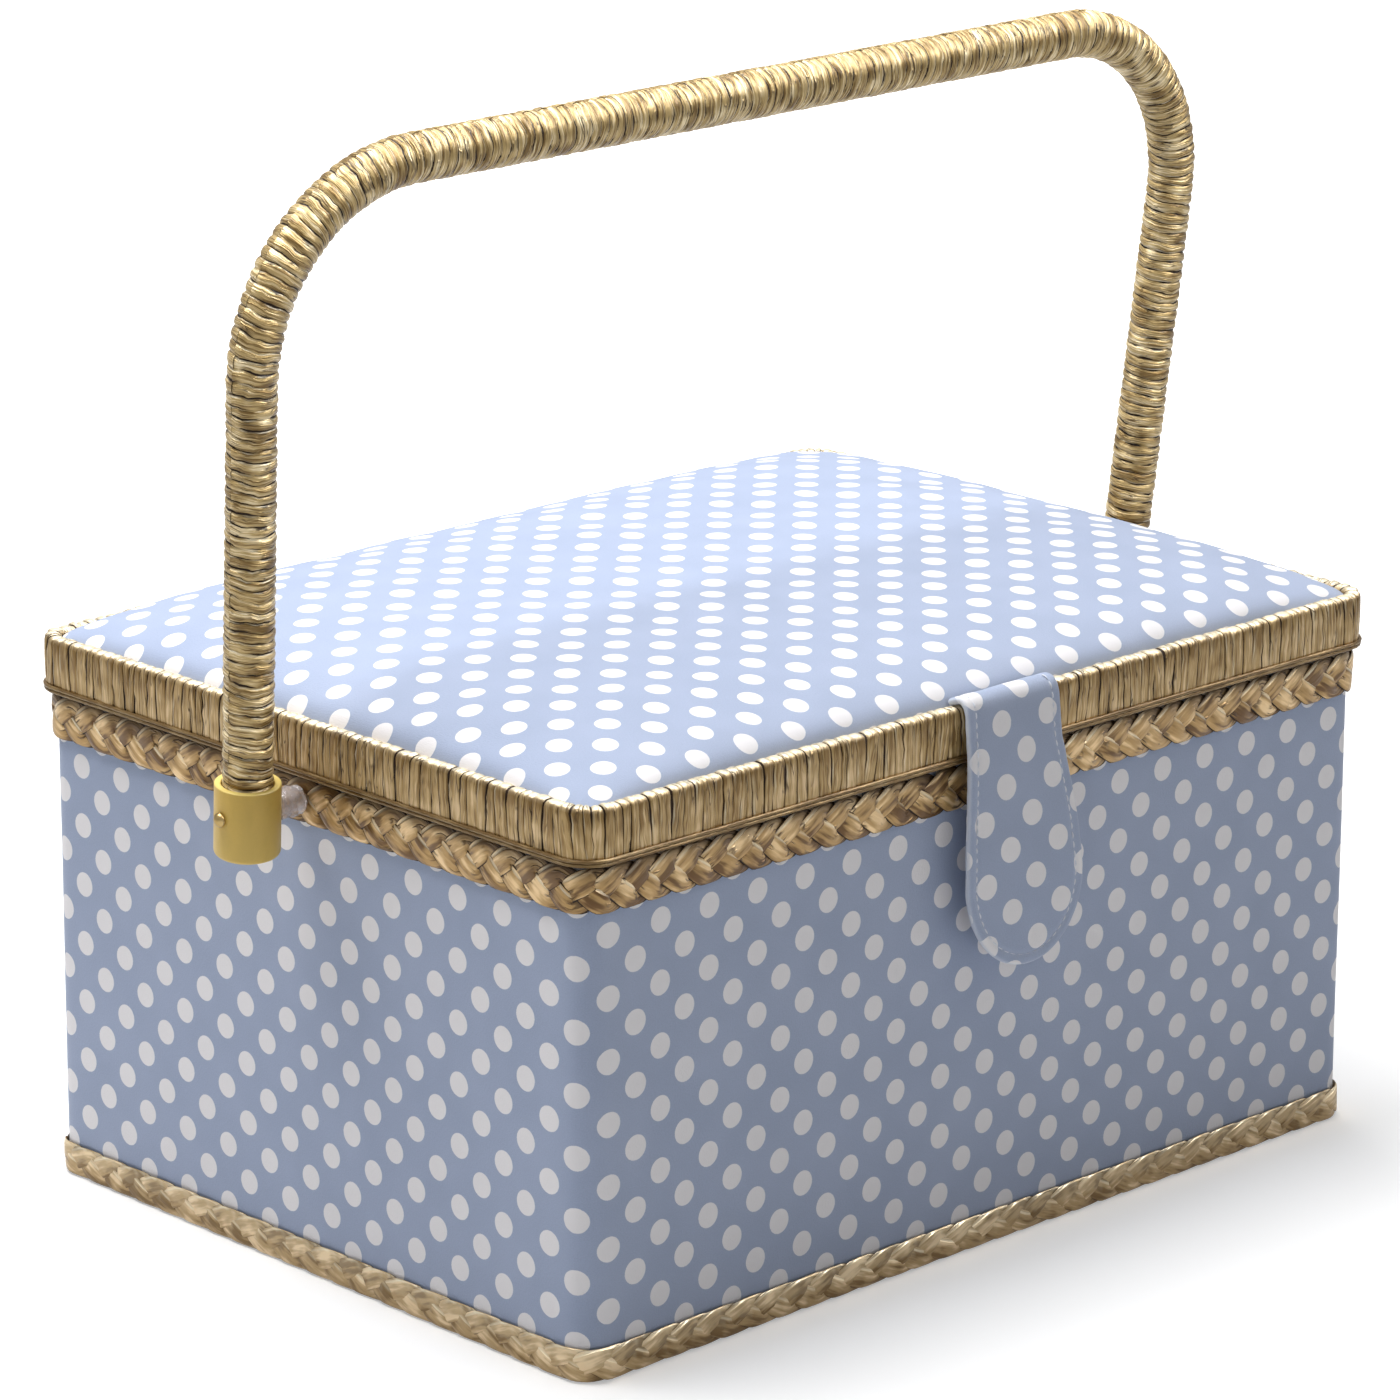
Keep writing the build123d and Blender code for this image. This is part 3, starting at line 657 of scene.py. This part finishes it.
def rim_cord(name, height, out):
    """A thin cord of two twisted straws that runs right round the rim."""
    radius = 0.00062
    twist_length = 0.0030

    def cord_place(u, v):
        outline, outward = rim_outline.lap(u * rim_round)
        turn = -2 * np.pi * v
        twist = u * rim_round / twist_length * 2 * np.pi
        bulge = radius * (0.86 + 0.14 * np.abs(np.cos(turn + twist / 2)))
        points = np.column_stack([outline + outward * (out + bulge * np.cos(turn))[:, None],
                                  height + bulge * np.sin(turn)])
        return points, (u * rim_round, v * 2 * np.pi * radius + height)

    return laid_sheet(name, 2160, 8, cord_place)


rim_cords = join_pieces("rim_cords", [rim_cord("cord_a", rim_low.z + 0.00195, 0.0001),
                                      rim_cord("cord_b", rim_low.z + 0.00085, -0.0001)])
# The cords are darker straw all over: their colour mark is lowered, and the dark tint of the shade mark is
# laid evenly on them as part of their own colour
mark(rim_cords, "tone", np.full(len(rim_cords.data.vertices), -0.9))
mark(rim_cords, "hollow", np.full(len(rim_cords.data.vertices), 0.4))
settle(rim_cords, rim_straw, "lid", "raffia")


# Lid pad: dotted cotton pulled tight over foam on the lid board, its edges pushed down
# between the rim and the board.
pad_low, pad_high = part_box("lid_pad")
pad_size = pad_high - pad_low
pad_rounding = 0.006
# How far the print is shifted, so that its dots lie on the pad as the photo shows them
pad_print_x = 0.063
pad_print_y = 0.029


def pad_rise(edge_distance):
    """The pad's height, as a share, so far in from one edge."""
    inward = np.clip(edge_distance, 0, None)
    return 1 - 0.74 * np.exp(-inward / 0.020) - 0.26 * np.exp(-inward / 0.0016)


def pad_height(x, y):
    share = pad_rise(pad_size.x / 2 - np.abs(x)) * pad_rise(pad_size.y / 2 - np.abs(y))
    return pad_low.z + pad_size.z * share


def stretch(values):
    """Places along an edge, drawn closer together near both ends."""
    return np.sin(np.pi * (values - 0.5)) * 0.35 + (values - 0.5) * 0.3


def cloth_length(line, rise):
    """Distance over the pad's surface from its middle line, at the line's places."""
    length = lengths_along(np.column_stack([line, rise]))
    return length - np.interp(0, line, length)


def pad_place(u, v):
    """The cloth over the foam, with rounded corners; the print follows its surface."""
    x = stretch(u) * pad_size.x
    y = stretch(v) * pad_size.y
    height = pad_height(x, y)
    beyond_x = np.clip(np.abs(x) - (pad_size.x / 2 - pad_rounding), 0, None)
    beyond_y = np.clip(np.abs(y) - (pad_size.y / 2 - pad_rounding), 0, None)
    both = np.hypot(beyond_x, beyond_y)
    pull = np.where(both > 0, np.maximum(beyond_x, beyond_y) / np.maximum(both, 1e-9), 1)
    x = np.sign(x) * (np.abs(x) - beyond_x * (1 - pull))
    y = np.sign(y) * (np.abs(y) - beyond_y * (1 - pull))
    points = np.column_stack([x, y, height])
    edge = np.minimum(pad_size.x / 2 - np.abs(x), pad_size.y / 2 - np.abs(y))
    points[:, 2] += 0.0004 * wander(points[:, :2], 0.035, 8) * np.clip(edge / 0.01, 0, 1)
    line_x = np.linspace(-pad_size.x / 2, pad_size.x / 2, 601)
    line_y = np.linspace(-pad_size.y / 2, pad_size.y / 2, 601)
    over_x = np.interp(x, line_x, cloth_length(line_x, pad_height(line_x, 0 * line_x)))
    over_y = np.interp(y, line_y, cloth_length(line_y, pad_height(0 * line_y, line_y)))
    return points, (over_x + pad_print_x, over_y + pad_print_y)


pad = laid_sheet("padded_top", 150, 120, pad_place)
settle(pad, cotton_print, "lid", "dotted_fabric", "lid_pad")


# Tongue: two layers of the dotted cotton turned in and stitched round the edge over a stiff
# strip. It is sewn down between pad and rim, bends over the rim and hangs to a press stud.
tongue_low, tongue_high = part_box("tongue")
tongue_middle = (tongue_low.x + tongue_high.x) / 2
tongue_half_top = 0.0180
tongue_half_low = (tongue_high.x - tongue_low.x) / 2
# Its middle layer from the pad over the rim to its lower end: distance back, height
tongue_fold = np.array([(-0.1106, 0.1608), (-0.1122, 0.1616), (-0.1140, 0.1622), (-0.1156, 0.1619),
                        (-0.1168, 0.1606), (-0.1175, 0.1584), (-0.1181, 0.152), (-0.1194, 0.140),
                        (-0.1207, 0.126), (-0.1214, 0.112), (-0.1216, 0.100), (-0.1216, tongue_low.z)])
fold_reach = lengths_along(tongue_fold)
tongue_length = fold_reach[-1]
tongue_end = 0.0255
tongue_round = tongue_length - tongue_end
tongue_thickness = 0.0022
seam_in = 0.0031
seam_depth = 0.00042


def tongue_half_width(reach):
    """Half the tongue's width so far along it: widening, then a rounded end."""
    taper = np.interp(reach, [0, 0.022, 0.046, tongue_round],
                      [tongue_half_top, 0.0183, 0.0211, tongue_half_low])
    drop = np.clip((reach - tongue_round) / tongue_end, 0, 1)
    return taper * np.sqrt(1 - drop ** 2)


def edge_distance(sideways, reach):
    """How far a point of the tongue is from its outer edge."""
    straight = tongue_half_width(np.minimum(reach, tongue_round)) - np.abs(sideways)
    along = np.clip(reach - tongue_round, 0, None) / tongue_end
    across = sideways / tongue_half_low
    slope = np.hypot(across / tongue_half_low, along / tongue_end) / np.maximum(np.hypot(across, along), 1e-6)
    rounded = (1 - np.hypot(across, along)) / np.maximum(slope, 1e-6)
    return np.where(reach < tongue_round, straight, rounded)


def on_tongue(sideways, reach, height):
    """Places a point of the tongue: across it, along it, and above its middle layer."""
    smooth = np.linspace(0, tongue_length, 240)
    fold = np.column_stack([np.interp(smooth, fold_reach, column) for column in tongue_fold.T])
    for _ in range(6):
        fold[1:-1] = (fold[:-2] + 2 * fold[1:-1] + fold[2:]) / 4
    y, z = (np.interp(reach, smooth, column) for column in fold.T)
    run_y, run_z = (np.interp(reach, smooth, np.gradient(column, smooth)) for column in fold.T)
    run = np.hypot(run_y, run_z)
    middle = tongue_middle + 0.0040 * np.clip(reach / tongue_length - 0.45, -0.2, 1)
    hang = 0.0012 * np.sin(sideways / tongue_half_low * 1.3) * np.clip((reach - 0.02) / 0.04, 0, 1)
    return np.column_stack([middle + sideways, y + run_z / run * height - hang, z - run_y / run * height])


def tongue_place(u, v):
    """Round the tongue's section with u, front first, and along it with v."""
    straight_share = 0.62
    end_turn = np.pi / 2 * (v - straight_share) / (1 - straight_share)
    reach = np.where(v < straight_share, v / straight_share * tongue_round,
                     tongue_round + tongue_end * np.sin(end_turn))
    turn = 2 * u
    front = turn <= 1
    share = np.where(front, turn, 2 - turn)
    sideways = tongue_half_width(reach) * np.sin(np.pi * (share - 0.5))
    spot = np.column_stack([sideways, reach])
    inside = np.clip(edge_distance(sideways, reach), 0, None)
    rounded = np.sqrt(1 - (1 - np.clip(inside / 0.0012, 0, 1)) ** 2)
    groove = seam_depth * bell(inside, seam_in, 0.0006)
    puff = 0.00018 * wander(spot, 0.018, 21) * np.clip(inside / 0.004, 0, 1)
    seam_lump = 0.00012 * wander(spot * 3, 0.016, 22) * (inside < 0.003)
    half = tongue_thickness / 2 * rounded - groove + (puff + seam_lump) * rounded
    height = np.where(front, -half, half * 0.9)
    # The dots stand 18.1 mm apart across the tongue and 17.9 mm along it
    printed = ((np.where(front, sideways, -sideways) + 0.0034) * dot_column / 18.1,
               (reach - 0.0406) * dot_row / 17.9)
    # Paler along the tongue's folded edge, and faintly along its seam line
    worn = 0.75 * bell(inside, 0, 0.0005) + 0.15 * bell(inside, 0.0030, 0.0007)
    return on_tongue(sideways, reach, height), printed, {"worn": worn}


tongue = laid_sheet("cotton_tongue", 112, 90, tongue_place)
tongue.data.materials.append(cotton_print)
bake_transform(tongue)
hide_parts("tongue", "tongue_root")


# Stitches: pale thread in short stitches that sink into the cloth 3 mm in from its edge.
stitch_thread = grained("pale sewing thread", (0.66, 0.70, 0.80, 1), (0.84, 0.86, 0.92, 1), 0.0001, 4000,
                        Roughness=0.6, Sheen_Weight=0.2)
# The seam's line across and along the tongue: down one side, round the end and up again
seam_points = [(-(tongue_half_width(reach) - seam_in), reach)
               for reach in np.linspace(0.003, tongue_round, 60)]
end_across = tongue_half_low - seam_in
end_along = tongue_end - seam_in
seam_points += [(-end_across * math.cos(turn), tongue_round + end_along * math.sin(turn))
                for turn in np.linspace(0, math.pi, 90)[1:]]
seam_points += [(-across, reach) for across, reach in seam_points[58::-1]]
seam_points = np.array(seam_points)
seam_reach = lengths_along(seam_points)
stitch_pitch = 0.0027
stitch_length = 0.0020


def stitch_place(number, u, v):
    reach = (number + 0.5) * stitch_pitch + (v - 0.5) * stitch_length
    across, along = (np.interp(reach, seam_reach, column) for column in seam_points.T)
    turn = 2 * np.pi * u
    girth = 0.00030 * np.sin(np.pi * np.clip(v, 0.02, 0.98)) ** 0.5
    lift = 0.9 * (tongue_thickness / 2 - seam_depth) + 0.00012 * np.sin(np.pi * v) + girth * np.cos(turn)
    return on_tongue(across + girth * np.sin(turn), along, lift), (u, v)


stitches = [laid_sheet("stitch" + str(number), 6, 4, partial(stitch_place, number))
            for number in range(int(seam_reach[-1] / stitch_pitch))]
seam = join_pieces("tongue_stitches", stitches)
seam.data.materials.append(stitch_thread)
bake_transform(seam)


# Handle: a bent cane wound from end to end with one straw ribbon, turn against turn. It
# stands in two plastic cups and leans a little to the front.
pivot_z = 0.1375
cup_x = 0.1720
handle_stand = Matrix.Translation((0, 0, pivot_z)) @ Matrix.Rotation(math.radians(5.3), 4, "X")
splay = math.radians(2.5)
shoulder = 0.052
handle_top = 0.1755
handle_foot = -0.0084 * math.cos(splay)
turn_angle = math.pi / 2 + splay
cut_back = shoulder * math.tan(turn_angle / 2)
foot_x = cup_x + handle_foot * math.tan(splay)
shoulder_x = cup_x + handle_top * math.tan(splay)
leg_length = (handle_top - handle_foot) / math.cos(splay) - cut_back
arc_length = shoulder * turn_angle
bar_length = 2 * shoulder_x - 2 * cut_back
handle_length = 2 * leg_length + 2 * arc_length + bar_length


def cane_line(way):
    """The cane's middle line in its own plane: across, up, and which way it heads."""
    second_half = way > handle_length / 2
    from_end = np.where(second_half, handle_length - way, way)
    on_leg = np.clip(from_end, 0, leg_length)
    bend = np.clip(from_end - leg_length, 0, arc_length) / shoulder
    on_bar = np.clip(from_end - leg_length - arc_length, 0, None)
    across = foot_x + on_leg * math.sin(splay)
    across = across - shoulder * math.cos(splay) + shoulder * np.cos(bend - splay) - on_bar
    up = handle_foot + on_leg * math.cos(splay) + shoulder * (np.sin(bend - splay) + math.sin(splay))
    heading = np.pi / 2 - splay + bend
    across = np.where(second_half, -across, across)
    heading = np.where(second_half, 2 * np.pi - heading, heading)
    return across, up, heading


handle_straw = straw("wound straw", (0.98, 0.82, 0.52, 1), (0.56, 0.40, 0.165, 1), (0.22, 0.13, 0.034, 1),
                     1500, 0.3, 0.0008)
winding_pitch = strip_measure
winding_turns = int(handle_length / winding_pitch)
winding_radius = 0.00695
winding_girth = 0.0437
turn_dice = np.random.default_rng(4)
turn_lifts = turn_dice.uniform(-1, 1, winding_turns + 3)
turn_tones = turn_dice.uniform(-0.5, 0.5, winding_turns + 3)


def winding_place(u, v):
    """Along the cane with u, round it with v; the ribbon's turns climb as they go round."""
    way = u * handle_length
    turn = 2 * np.pi * v
    spot = np.column_stack([way * 14, np.cos(turn) * 0.1, np.sin(turn) * 0.1])
    wobble = 0.15 * wander(spot, 0.19, 31) + 0.09 * wander(spot, 0.07, 32)
    turns_wound = np.clip(way / winding_pitch + v + wobble, 0, winding_turns + 1)
    number = np.floor(turns_wound).astype(int)
    share = turns_wound - number
    gap = np.clip(0.5 + 0.6 * wander(spot, 0.08, 33), 0.05, 1)
    valley = bell(np.abs(share - 0.5), 0.5, 0.10) * gap
    crown = 1 - (2 * share - 1) ** 2
    crease = bell(share - 0.5, 0.2 * wander(spot, 0.2, 34), 0.07) * np.clip(wander(spot, 0.11, 35), 0, 1)
    radius = winding_radius - 0.0004 + 0.00042 * crown - 0.00042 * valley - 0.00025 * crease
    radius = radius + 0.00012 * turn_lifts[number]
    across, up, heading = cane_line(way)
    points = np.column_stack([across + np.sin(heading) * radius * np.cos(turn), radius * np.sin(turn),
                              up - np.cos(heading) * radius * np.cos(turn)])
    # Each turn's colour varies at random; painted shade lies in the valleys between turns and in their
    # creases, and a painted highlight along some turns' edges
    marks = {"tone": 0.45 * turn_tones[number] + 0.6 * wander(spot, 0.09, 36),
             "hollow": np.clip(0.4 * valley + 0.35 * crease, 0, 1), "gap": gap,
             "ridge": np.clip(0.2 + 0.9 * wander(spot, 0.07, 37), 0, 1)}
    return points, (v * winding_girth, turns_wound * winding_pitch), marks


winding = laid_sheet("wound_handle", winding_turns * 12, 26, winding_place)
winding.data.transform(handle_stand)
settle(winding, handle_straw, "handle", "raffia", "handle_wrap")

dress(grained("bent cane", (0.42, 0.28, 0.12, 1), (0.66, 0.50, 0.27, 1), 0.0002, 1, 3.0, (600, 600, 40),
              Roughness=0.5), "handle_core")


# Cups: two moulded cups of mustard yellow plastic that hold the handle's ends. The light that
# comes through their thin rims is painted on as a paler yellow, and so is a highlight round
# the foot.
cup_low = -0.0118
cup_high = 0.0089
cup_radius = 0.0091
cup_wall = 0.0019
cup_bore = 0.0172
cup_edge = 0.0001
mustard = Recipe("mustard plastic", Roughness=0.40, Specular_IOR_Level=0.3, Coat_Weight=0.1,
                 Coat_Roughness=0.2)
mustard_flow = mustard.noise(160, stretch=(1, 1, 0.5))
mustard_speck = mustard.noise(1500)
mustard_colour = mustard.mix((mustard_flow * 0.8 + mustard_speck * 0.2).ease(0.3, 0.7),
                             (0.47, 0.250, 0.022, 1), (0.595, 0.335, 0.042, 1))
# Painted light: paler yellow at the rim, where light comes through, and a painted highlight round the foot
mustard_colour = mustard.mix(mustard.attribute("thin"), mustard_colour, (0.88, 0.68, 0.20, 1))
mustard = mustard.finish(mustard_colour, height=mustard_flow + mustard_speck * 0.1, depth=0.0002)


def pick(piece, kind, wanted):
    """Selects the wanted edges or faces of the piece in edit mode, and nothing else."""
    bpy.ops.mesh.select_mode(type=kind)
    bpy.ops.mesh.select_all(action="DESELECT")
    shell = bmesh.from_edit_mesh(piece.data)
    for element in (shell.edges if kind == "EDGE" else shell.faces):
        element.select_set(wanted(element))
    bmesh.update_edit_mesh(piece.data)


def yellow_cup(hand, side):
    """A cylinder, hollowed from the top, with a round lower edge and a thin soft rim."""
    bpy.ops.mesh.primitive_cylinder_add(vertices=64, radius=cup_radius, depth=cup_high - cup_low,
                                        location=(0, 0, (cup_high + cup_low) / 2))
    cup = bpy.context.object
    cup.name = cup.data.name = hand + "_yellow_cup"
    bpy.ops.object.transform_apply(location=True)
    bpy.ops.object.mode_set(mode="EDIT")
    pick(cup, "EDGE", lambda edge: all(corner.co.z < cup_low + cup_edge for corner in edge.verts))
    bpy.ops.mesh.bevel(offset=0.0015, segments=5)
    pick(cup, "FACE", lambda face: face.calc_center_median().z > cup_high - cup_edge)
    bpy.ops.mesh.inset(thickness=cup_wall)
    bpy.ops.mesh.extrude_region_move(TRANSFORM_OT_translate={"value": (0, 0, -cup_bore)})
    pick(cup, "EDGE", lambda edge: (all(corner.co.z > cup_high - cup_edge for corner in edge.verts)
                                    and edge.calc_face_angle(0) > 0.5))
    bpy.ops.mesh.bevel(offset=0.0004, segments=3)
    bpy.ops.object.mode_set(mode="OBJECT")
    bpy.ops.object.shade_smooth_by_angle(angle=math.radians(40))
    across_x, across_y, up = points_of(cup).T
    # Painted light: the rim's top, where light comes through, and a painted highlight in a ring round the
    # foot
    thin = np.clip((up - cup_high + 0.0006) / 0.0005, 0, 1)
    foot_highlight = (np.abs(up - cup_low - 0.0009) < 0.0008) * (np.hypot(across_x, across_y) > 0.007)
    mark(cup, "thin", np.maximum(thin, 0.55 * foot_highlight))
    cup.data.transform(handle_stand @ Matrix.Translation((side * cup_x, 0, 0))
                       @ Matrix.Rotation(side * splay, 4, "Y"))
    settle(cup, mustard, "handle", "yellow_plastic", hand + "_socket")


yellow_cup("left", -1)
yellow_cup("right", 1)


# Pivot pins: steel pins with domed brass-coloured heads go through the cups and the walls,
# where a nut and a washer hold them.
def turned(name, profile, steps=40):
    """A piece turned on a lathe; profile gives its distance along and its radius, end to end."""
    mesh = bpy.data.meshes.new(name)
    mesh.from_pydata([(radius, 0, along) for along, radius in profile],
                     [(number, number + 1) for number in range(len(profile) - 1)], [])
    piece = bpy.data.objects.new(name, mesh)
    bpy.context.collection.objects.link(piece)
    edit(piece)
    bpy.ops.mesh.spin(steps=steps, angle=2 * math.pi, center=(0, 0, 0), axis=(0, 0, 1))
    bpy.ops.mesh.select_all(action="SELECT")
    bpy.ops.mesh.remove_doubles(threshold=0.000002)
    bpy.ops.mesh.normals_make_consistent(inside=False)
    bpy.ops.object.mode_set(mode="OBJECT")
    bpy.ops.object.shade_smooth_by_angle(angle=math.radians(35))
    return piece


def plated(name, colour, worn, roughness):
    """Plated metal with fine scratches and duller patches."""
    metal = Recipe(name, Metallic=1.0)
    patches = metal.noise(260, 3.0)
    scratches = metal.noise(5200, 2.0, (1, 0.08, 0.2))
    return metal.finish(metal.mix(patches.ease(0.35, 0.7), colour, worn), patches * 0.2 + roughness,
                        scratches, 0.00004)


steel = plated("plated steel", (0.62, 0.61, 0.58, 1), (0.45, 0.44, 0.42, 1), 0.18)
brass = plated("brass plate", (0.60, 0.44, 0.19, 1), (0.38, 0.26, 0.10, 1), 0.2)
dress(steel, "left_pin_nut", "right_pin_nut", "left_pin_washer", "right_pin_washer", "snap_socket",
      "snap_stud")
pin_seat = 0.18145
pin_shank = pin_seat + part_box("left_pivot_pin")[1].x
pin_profile = [(0.00175, 0), (0.00168, 0.0006), (0.00148, 0.0011), (0.00115, 0.0016), (0.0007, 0.00195),
               (0.0003, 0.00206), (0.0001, 0.00204), (0, 0.0019), (0, 0.00118), (-0.0003, 0.00112),
               (-0.003, 0.00112), (-pin_shank + 0.0003, 0.00112), (-pin_shank, 0.0009), (-pin_shank, 0)]
for hand, side in (("left", -1), ("right", 1)):
    pin = turned(hand + "_brass_pin", pin_profile)
    pin.data.transform(Matrix.Translation((side * pin_seat, 0, pivot_z))
                       @ Matrix.Rotation(side * math.pi / 2, 4, "Y"))
    settle(pin, brass, "pivot_pins", "steel", hand + "_pivot_pin")


# Spacers: clear soft plastic sleeves on the pins, crumpled between cup and plait.
film = grained("clear plastic sleeve", (0.80, 0.72, 0.72, 1), (0.96, 0.93, 0.93, 1), 0.0006, 420, 3.0,
               Roughness=0.14, IOR=1.42, Transmission_Weight=0.72, Coat_Weight=0.3)
sleeve_bore = 0.0022
sleeve_radius = 0.0043
for hand, side in (("left", -1), ("right", 1)):
    low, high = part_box(hand + "_spacer")
    length = high.x - low.x
    sleeve_profile = [(0, sleeve_bore), (0, 0.0036), (0.0003, 0.0041)]
    sleeve_profile += [(length * step / 22, sleeve_radius) for step in range(2, 21)]
    sleeve_profile += [(length - 0.0003, 0.0041), (length, 0.0036), (length, sleeve_bore), (0, sleeve_bore)]
    sleeve = turned(hand + "_sleeve", sleeve_profile, 44)
    places = points_of(sleeve)
    outer = np.clip((np.hypot(places[:, 0], places[:, 1]) - 0.0030) / 0.001, 0, 1)
    crumple = outer * (0.07 * wander(places, 0.0034, 61 + side) + 0.05 * wander(places, 0.0015, 64 + side))
    places[:, :2] *= (1 - 0.03 * outer + crumple)[:, None]
    sleeve.data.vertices.foreach_set("co", places.ravel())
    sleeve.data.transform(Matrix.Translation((low.x, 0, pivot_z)) @ Matrix.Rotation(math.pi / 2, 4, "Y"))
    settle(sleeve, film, "box", "clear_plastic", hand + "_spacer")


# Hinges: two small brass-plated stop hinges at the back, with pins of the same metal and
# slotted screws. Lips beyond their barrels all but meet when the lid stands open.
dress(brass, "left_hinge_box_leaf", "right_hinge_box_leaf", "left_hinge_lid_leaf", "right_hinge_lid_leaf",
      "left_hinge_pin", "right_hinge_pin")
hinge_x = 0.095
screw_step = 0.009
screw_dome = 0.0009
slot_width = 0.0006
slot_depth = 0.00045


def slotted_screw(name, x, y, z):
    """A domed screw head with a slot, on a short shank, facing the back."""
    head = [(screw_dome, 0), (0.00088, 0.0007), (0.00076, 0.0013), (0.00052, 0.0018), (0.0002, 0.00208),
            (0, 0.0021), (0, 0.0012), (-0.0050, 0.0011), (-0.0054, 0)]
    screw = turned(name, head, 24)
    bpy.ops.mesh.primitive_cube_add(size=1, location=(0, 0, screw_dome),
                                    scale=(0.0052, slot_width, 2 * slot_depth))
    slot_block = bpy.context.object
    cut = screw.modifiers.new("slot", "BOOLEAN")
    cut.operation = "DIFFERENCE"
    cut.object = slot_block
    bpy.context.view_layer.objects.active = screw
    bpy.ops.object.modifier_apply(modifier="slot")
    bpy.data.objects.remove(slot_block, do_unlink=True)
    # Each slot stands at an angle of its own, as the screwdriver left it
    slot_turn = Matrix.Rotation(x * 40, 4, "Z")
    screw.data.transform(Matrix.Translation((x, y, z)) @ Matrix.Rotation(-math.pi / 2, 4, "X") @ slot_turn)
    return screw


for body in ("box", "lid"):
    node = "hinge_" + body + "_screws"
    low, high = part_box(node)
    row = []
    for x in (-hinge_x - screw_step, -hinge_x + screw_step, hinge_x - screw_step, hinge_x + screw_step):
        row.append(slotted_screw("screw" + str(len(row)), x, high.y - screw_dome, (low.z + high.z) / 2))
    settle(join_pieces(body + "_hinge_screw_heads", row), brass, body, "hinge_brass", node)


# Lid lining: cotton over thin card, glued inside the lid between its rails.
lid_lining = stuffed_form("lid_lining_cotton", "lid_lining", 0.004, 0.75, 50, 0.0002, 91)
settle(lid_lining, lining_cotton, "lid", "lining", "lid_lining")


# Pocket: lining cotton gathered on elastic, sewn under the lid on three sides, open towards
# the front edge.
pocket_low, pocket_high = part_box("lid_pocket")
pocket_size = pocket_high - pocket_low


def pocket_place(u, v):
    """From the left to the right with u, from the open mouth to the back with v."""
    x = pocket_low.x + 0.0006 + u * (pocket_size.x - 0.0012)
    y = pocket_low.y + 0.0006 + v * (pocket_size.y - 0.0012)
    mouth = v * pocket_size.y
    back = (1 - v) * pocket_size.y
    sewn = np.minimum(np.minimum(u, 1 - u) * pocket_size.x, back)
    swell = (1 - np.exp(-np.clip(sewn, 0, None) / 0.007)) * (0.55 + 0.45 * np.exp(-mouth / 0.05))
    folds = np.cos(x * 2 * np.pi / 0.0062 + 1.6 * wander(np.column_stack([x, y * 0.22]), 0.05, 93))
    gather = 0.00085 * np.exp(-mouth / 0.045) + 0.0003 + 0.0004 * np.exp(-back / 0.012)
    band = 0.0005 * ((mouth > 0.009) & (mouth < 0.0105))
    drop = 0.0007 + swell * 0.0022 + folds * gather * np.clip(sewn / 0.004, 0, 1) - band
    return np.column_stack([x, y, pocket_high.z - drop]), (x, y)


pocket = laid_sheet("gathered_pocket", 200, 90, pocket_place)
pocket.modifiers.new("cloth thickness", "SOLIDIFY").thickness = 0.0004
bpy.ops.object.modifier_apply(modifier="cloth thickness")
settle(pocket, lining_cotton, "lid", "lining", "lid_pocket")


# Pin cushion: a flat stuffed cushion of the dotted cotton, sewn under the lid beside the pocket.
pin_cushion = stuffed_form("dotted_pin_cushion", "pin_cushion", 0.020, 0.8, 2.6, 0.0006, 95)
settle(pin_cushion, cotton_print, "lid", "cushion", "pin_cushion")


# Tray: one moulding of white plastic with a long bay and three reel bays; its flange slides
# on the lining boards.
tray_plastic = Recipe("white tray plastic", Roughness=0.3, Coat_Weight=0.2)
tray_sink = tray_plastic.noise(30)
tray_speck = tray_plastic.noise(2200)
tray_colour = tray_plastic.mix(tray_sink, (0.74, 0.76, 0.79, 1), (0.82, 0.83, 0.85, 1))
tray_relief = tray_sink + tray_speck * 0.06
tray_plastic = tray_plastic.finish(tray_colour, tray_sink * 0.15 + 0.25, tray_relief, 0.0004)
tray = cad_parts["tray"].copy()
tray.data = tray.data.copy()
tray.name = tray.data.name = "moulded_tray"
bpy.context.collection.objects.link(tray)
edit(tray)
bpy.ops.mesh.remove_doubles(threshold=0.00001)
bpy.ops.mesh.dissolve_limited(angle_limit=math.radians(1))
bpy.ops.object.mode_set(mode="OBJECT")
soft_edges = tray.modifiers.new("soft edges", "BEVEL")
soft_edges.width = 0.0005
soft_edges.segments = 2
soft_edges.limit_method = "ANGLE"
soft_edges.angle_limit = math.radians(40)
bpy.ops.object.modifier_apply(modifier="soft edges")
bpy.ops.object.shade_smooth_by_angle(angle=math.radians(35))
tray.data.materials.clear()
settle(tray, tray_plastic, "tray", "tray_plastic", "tray")
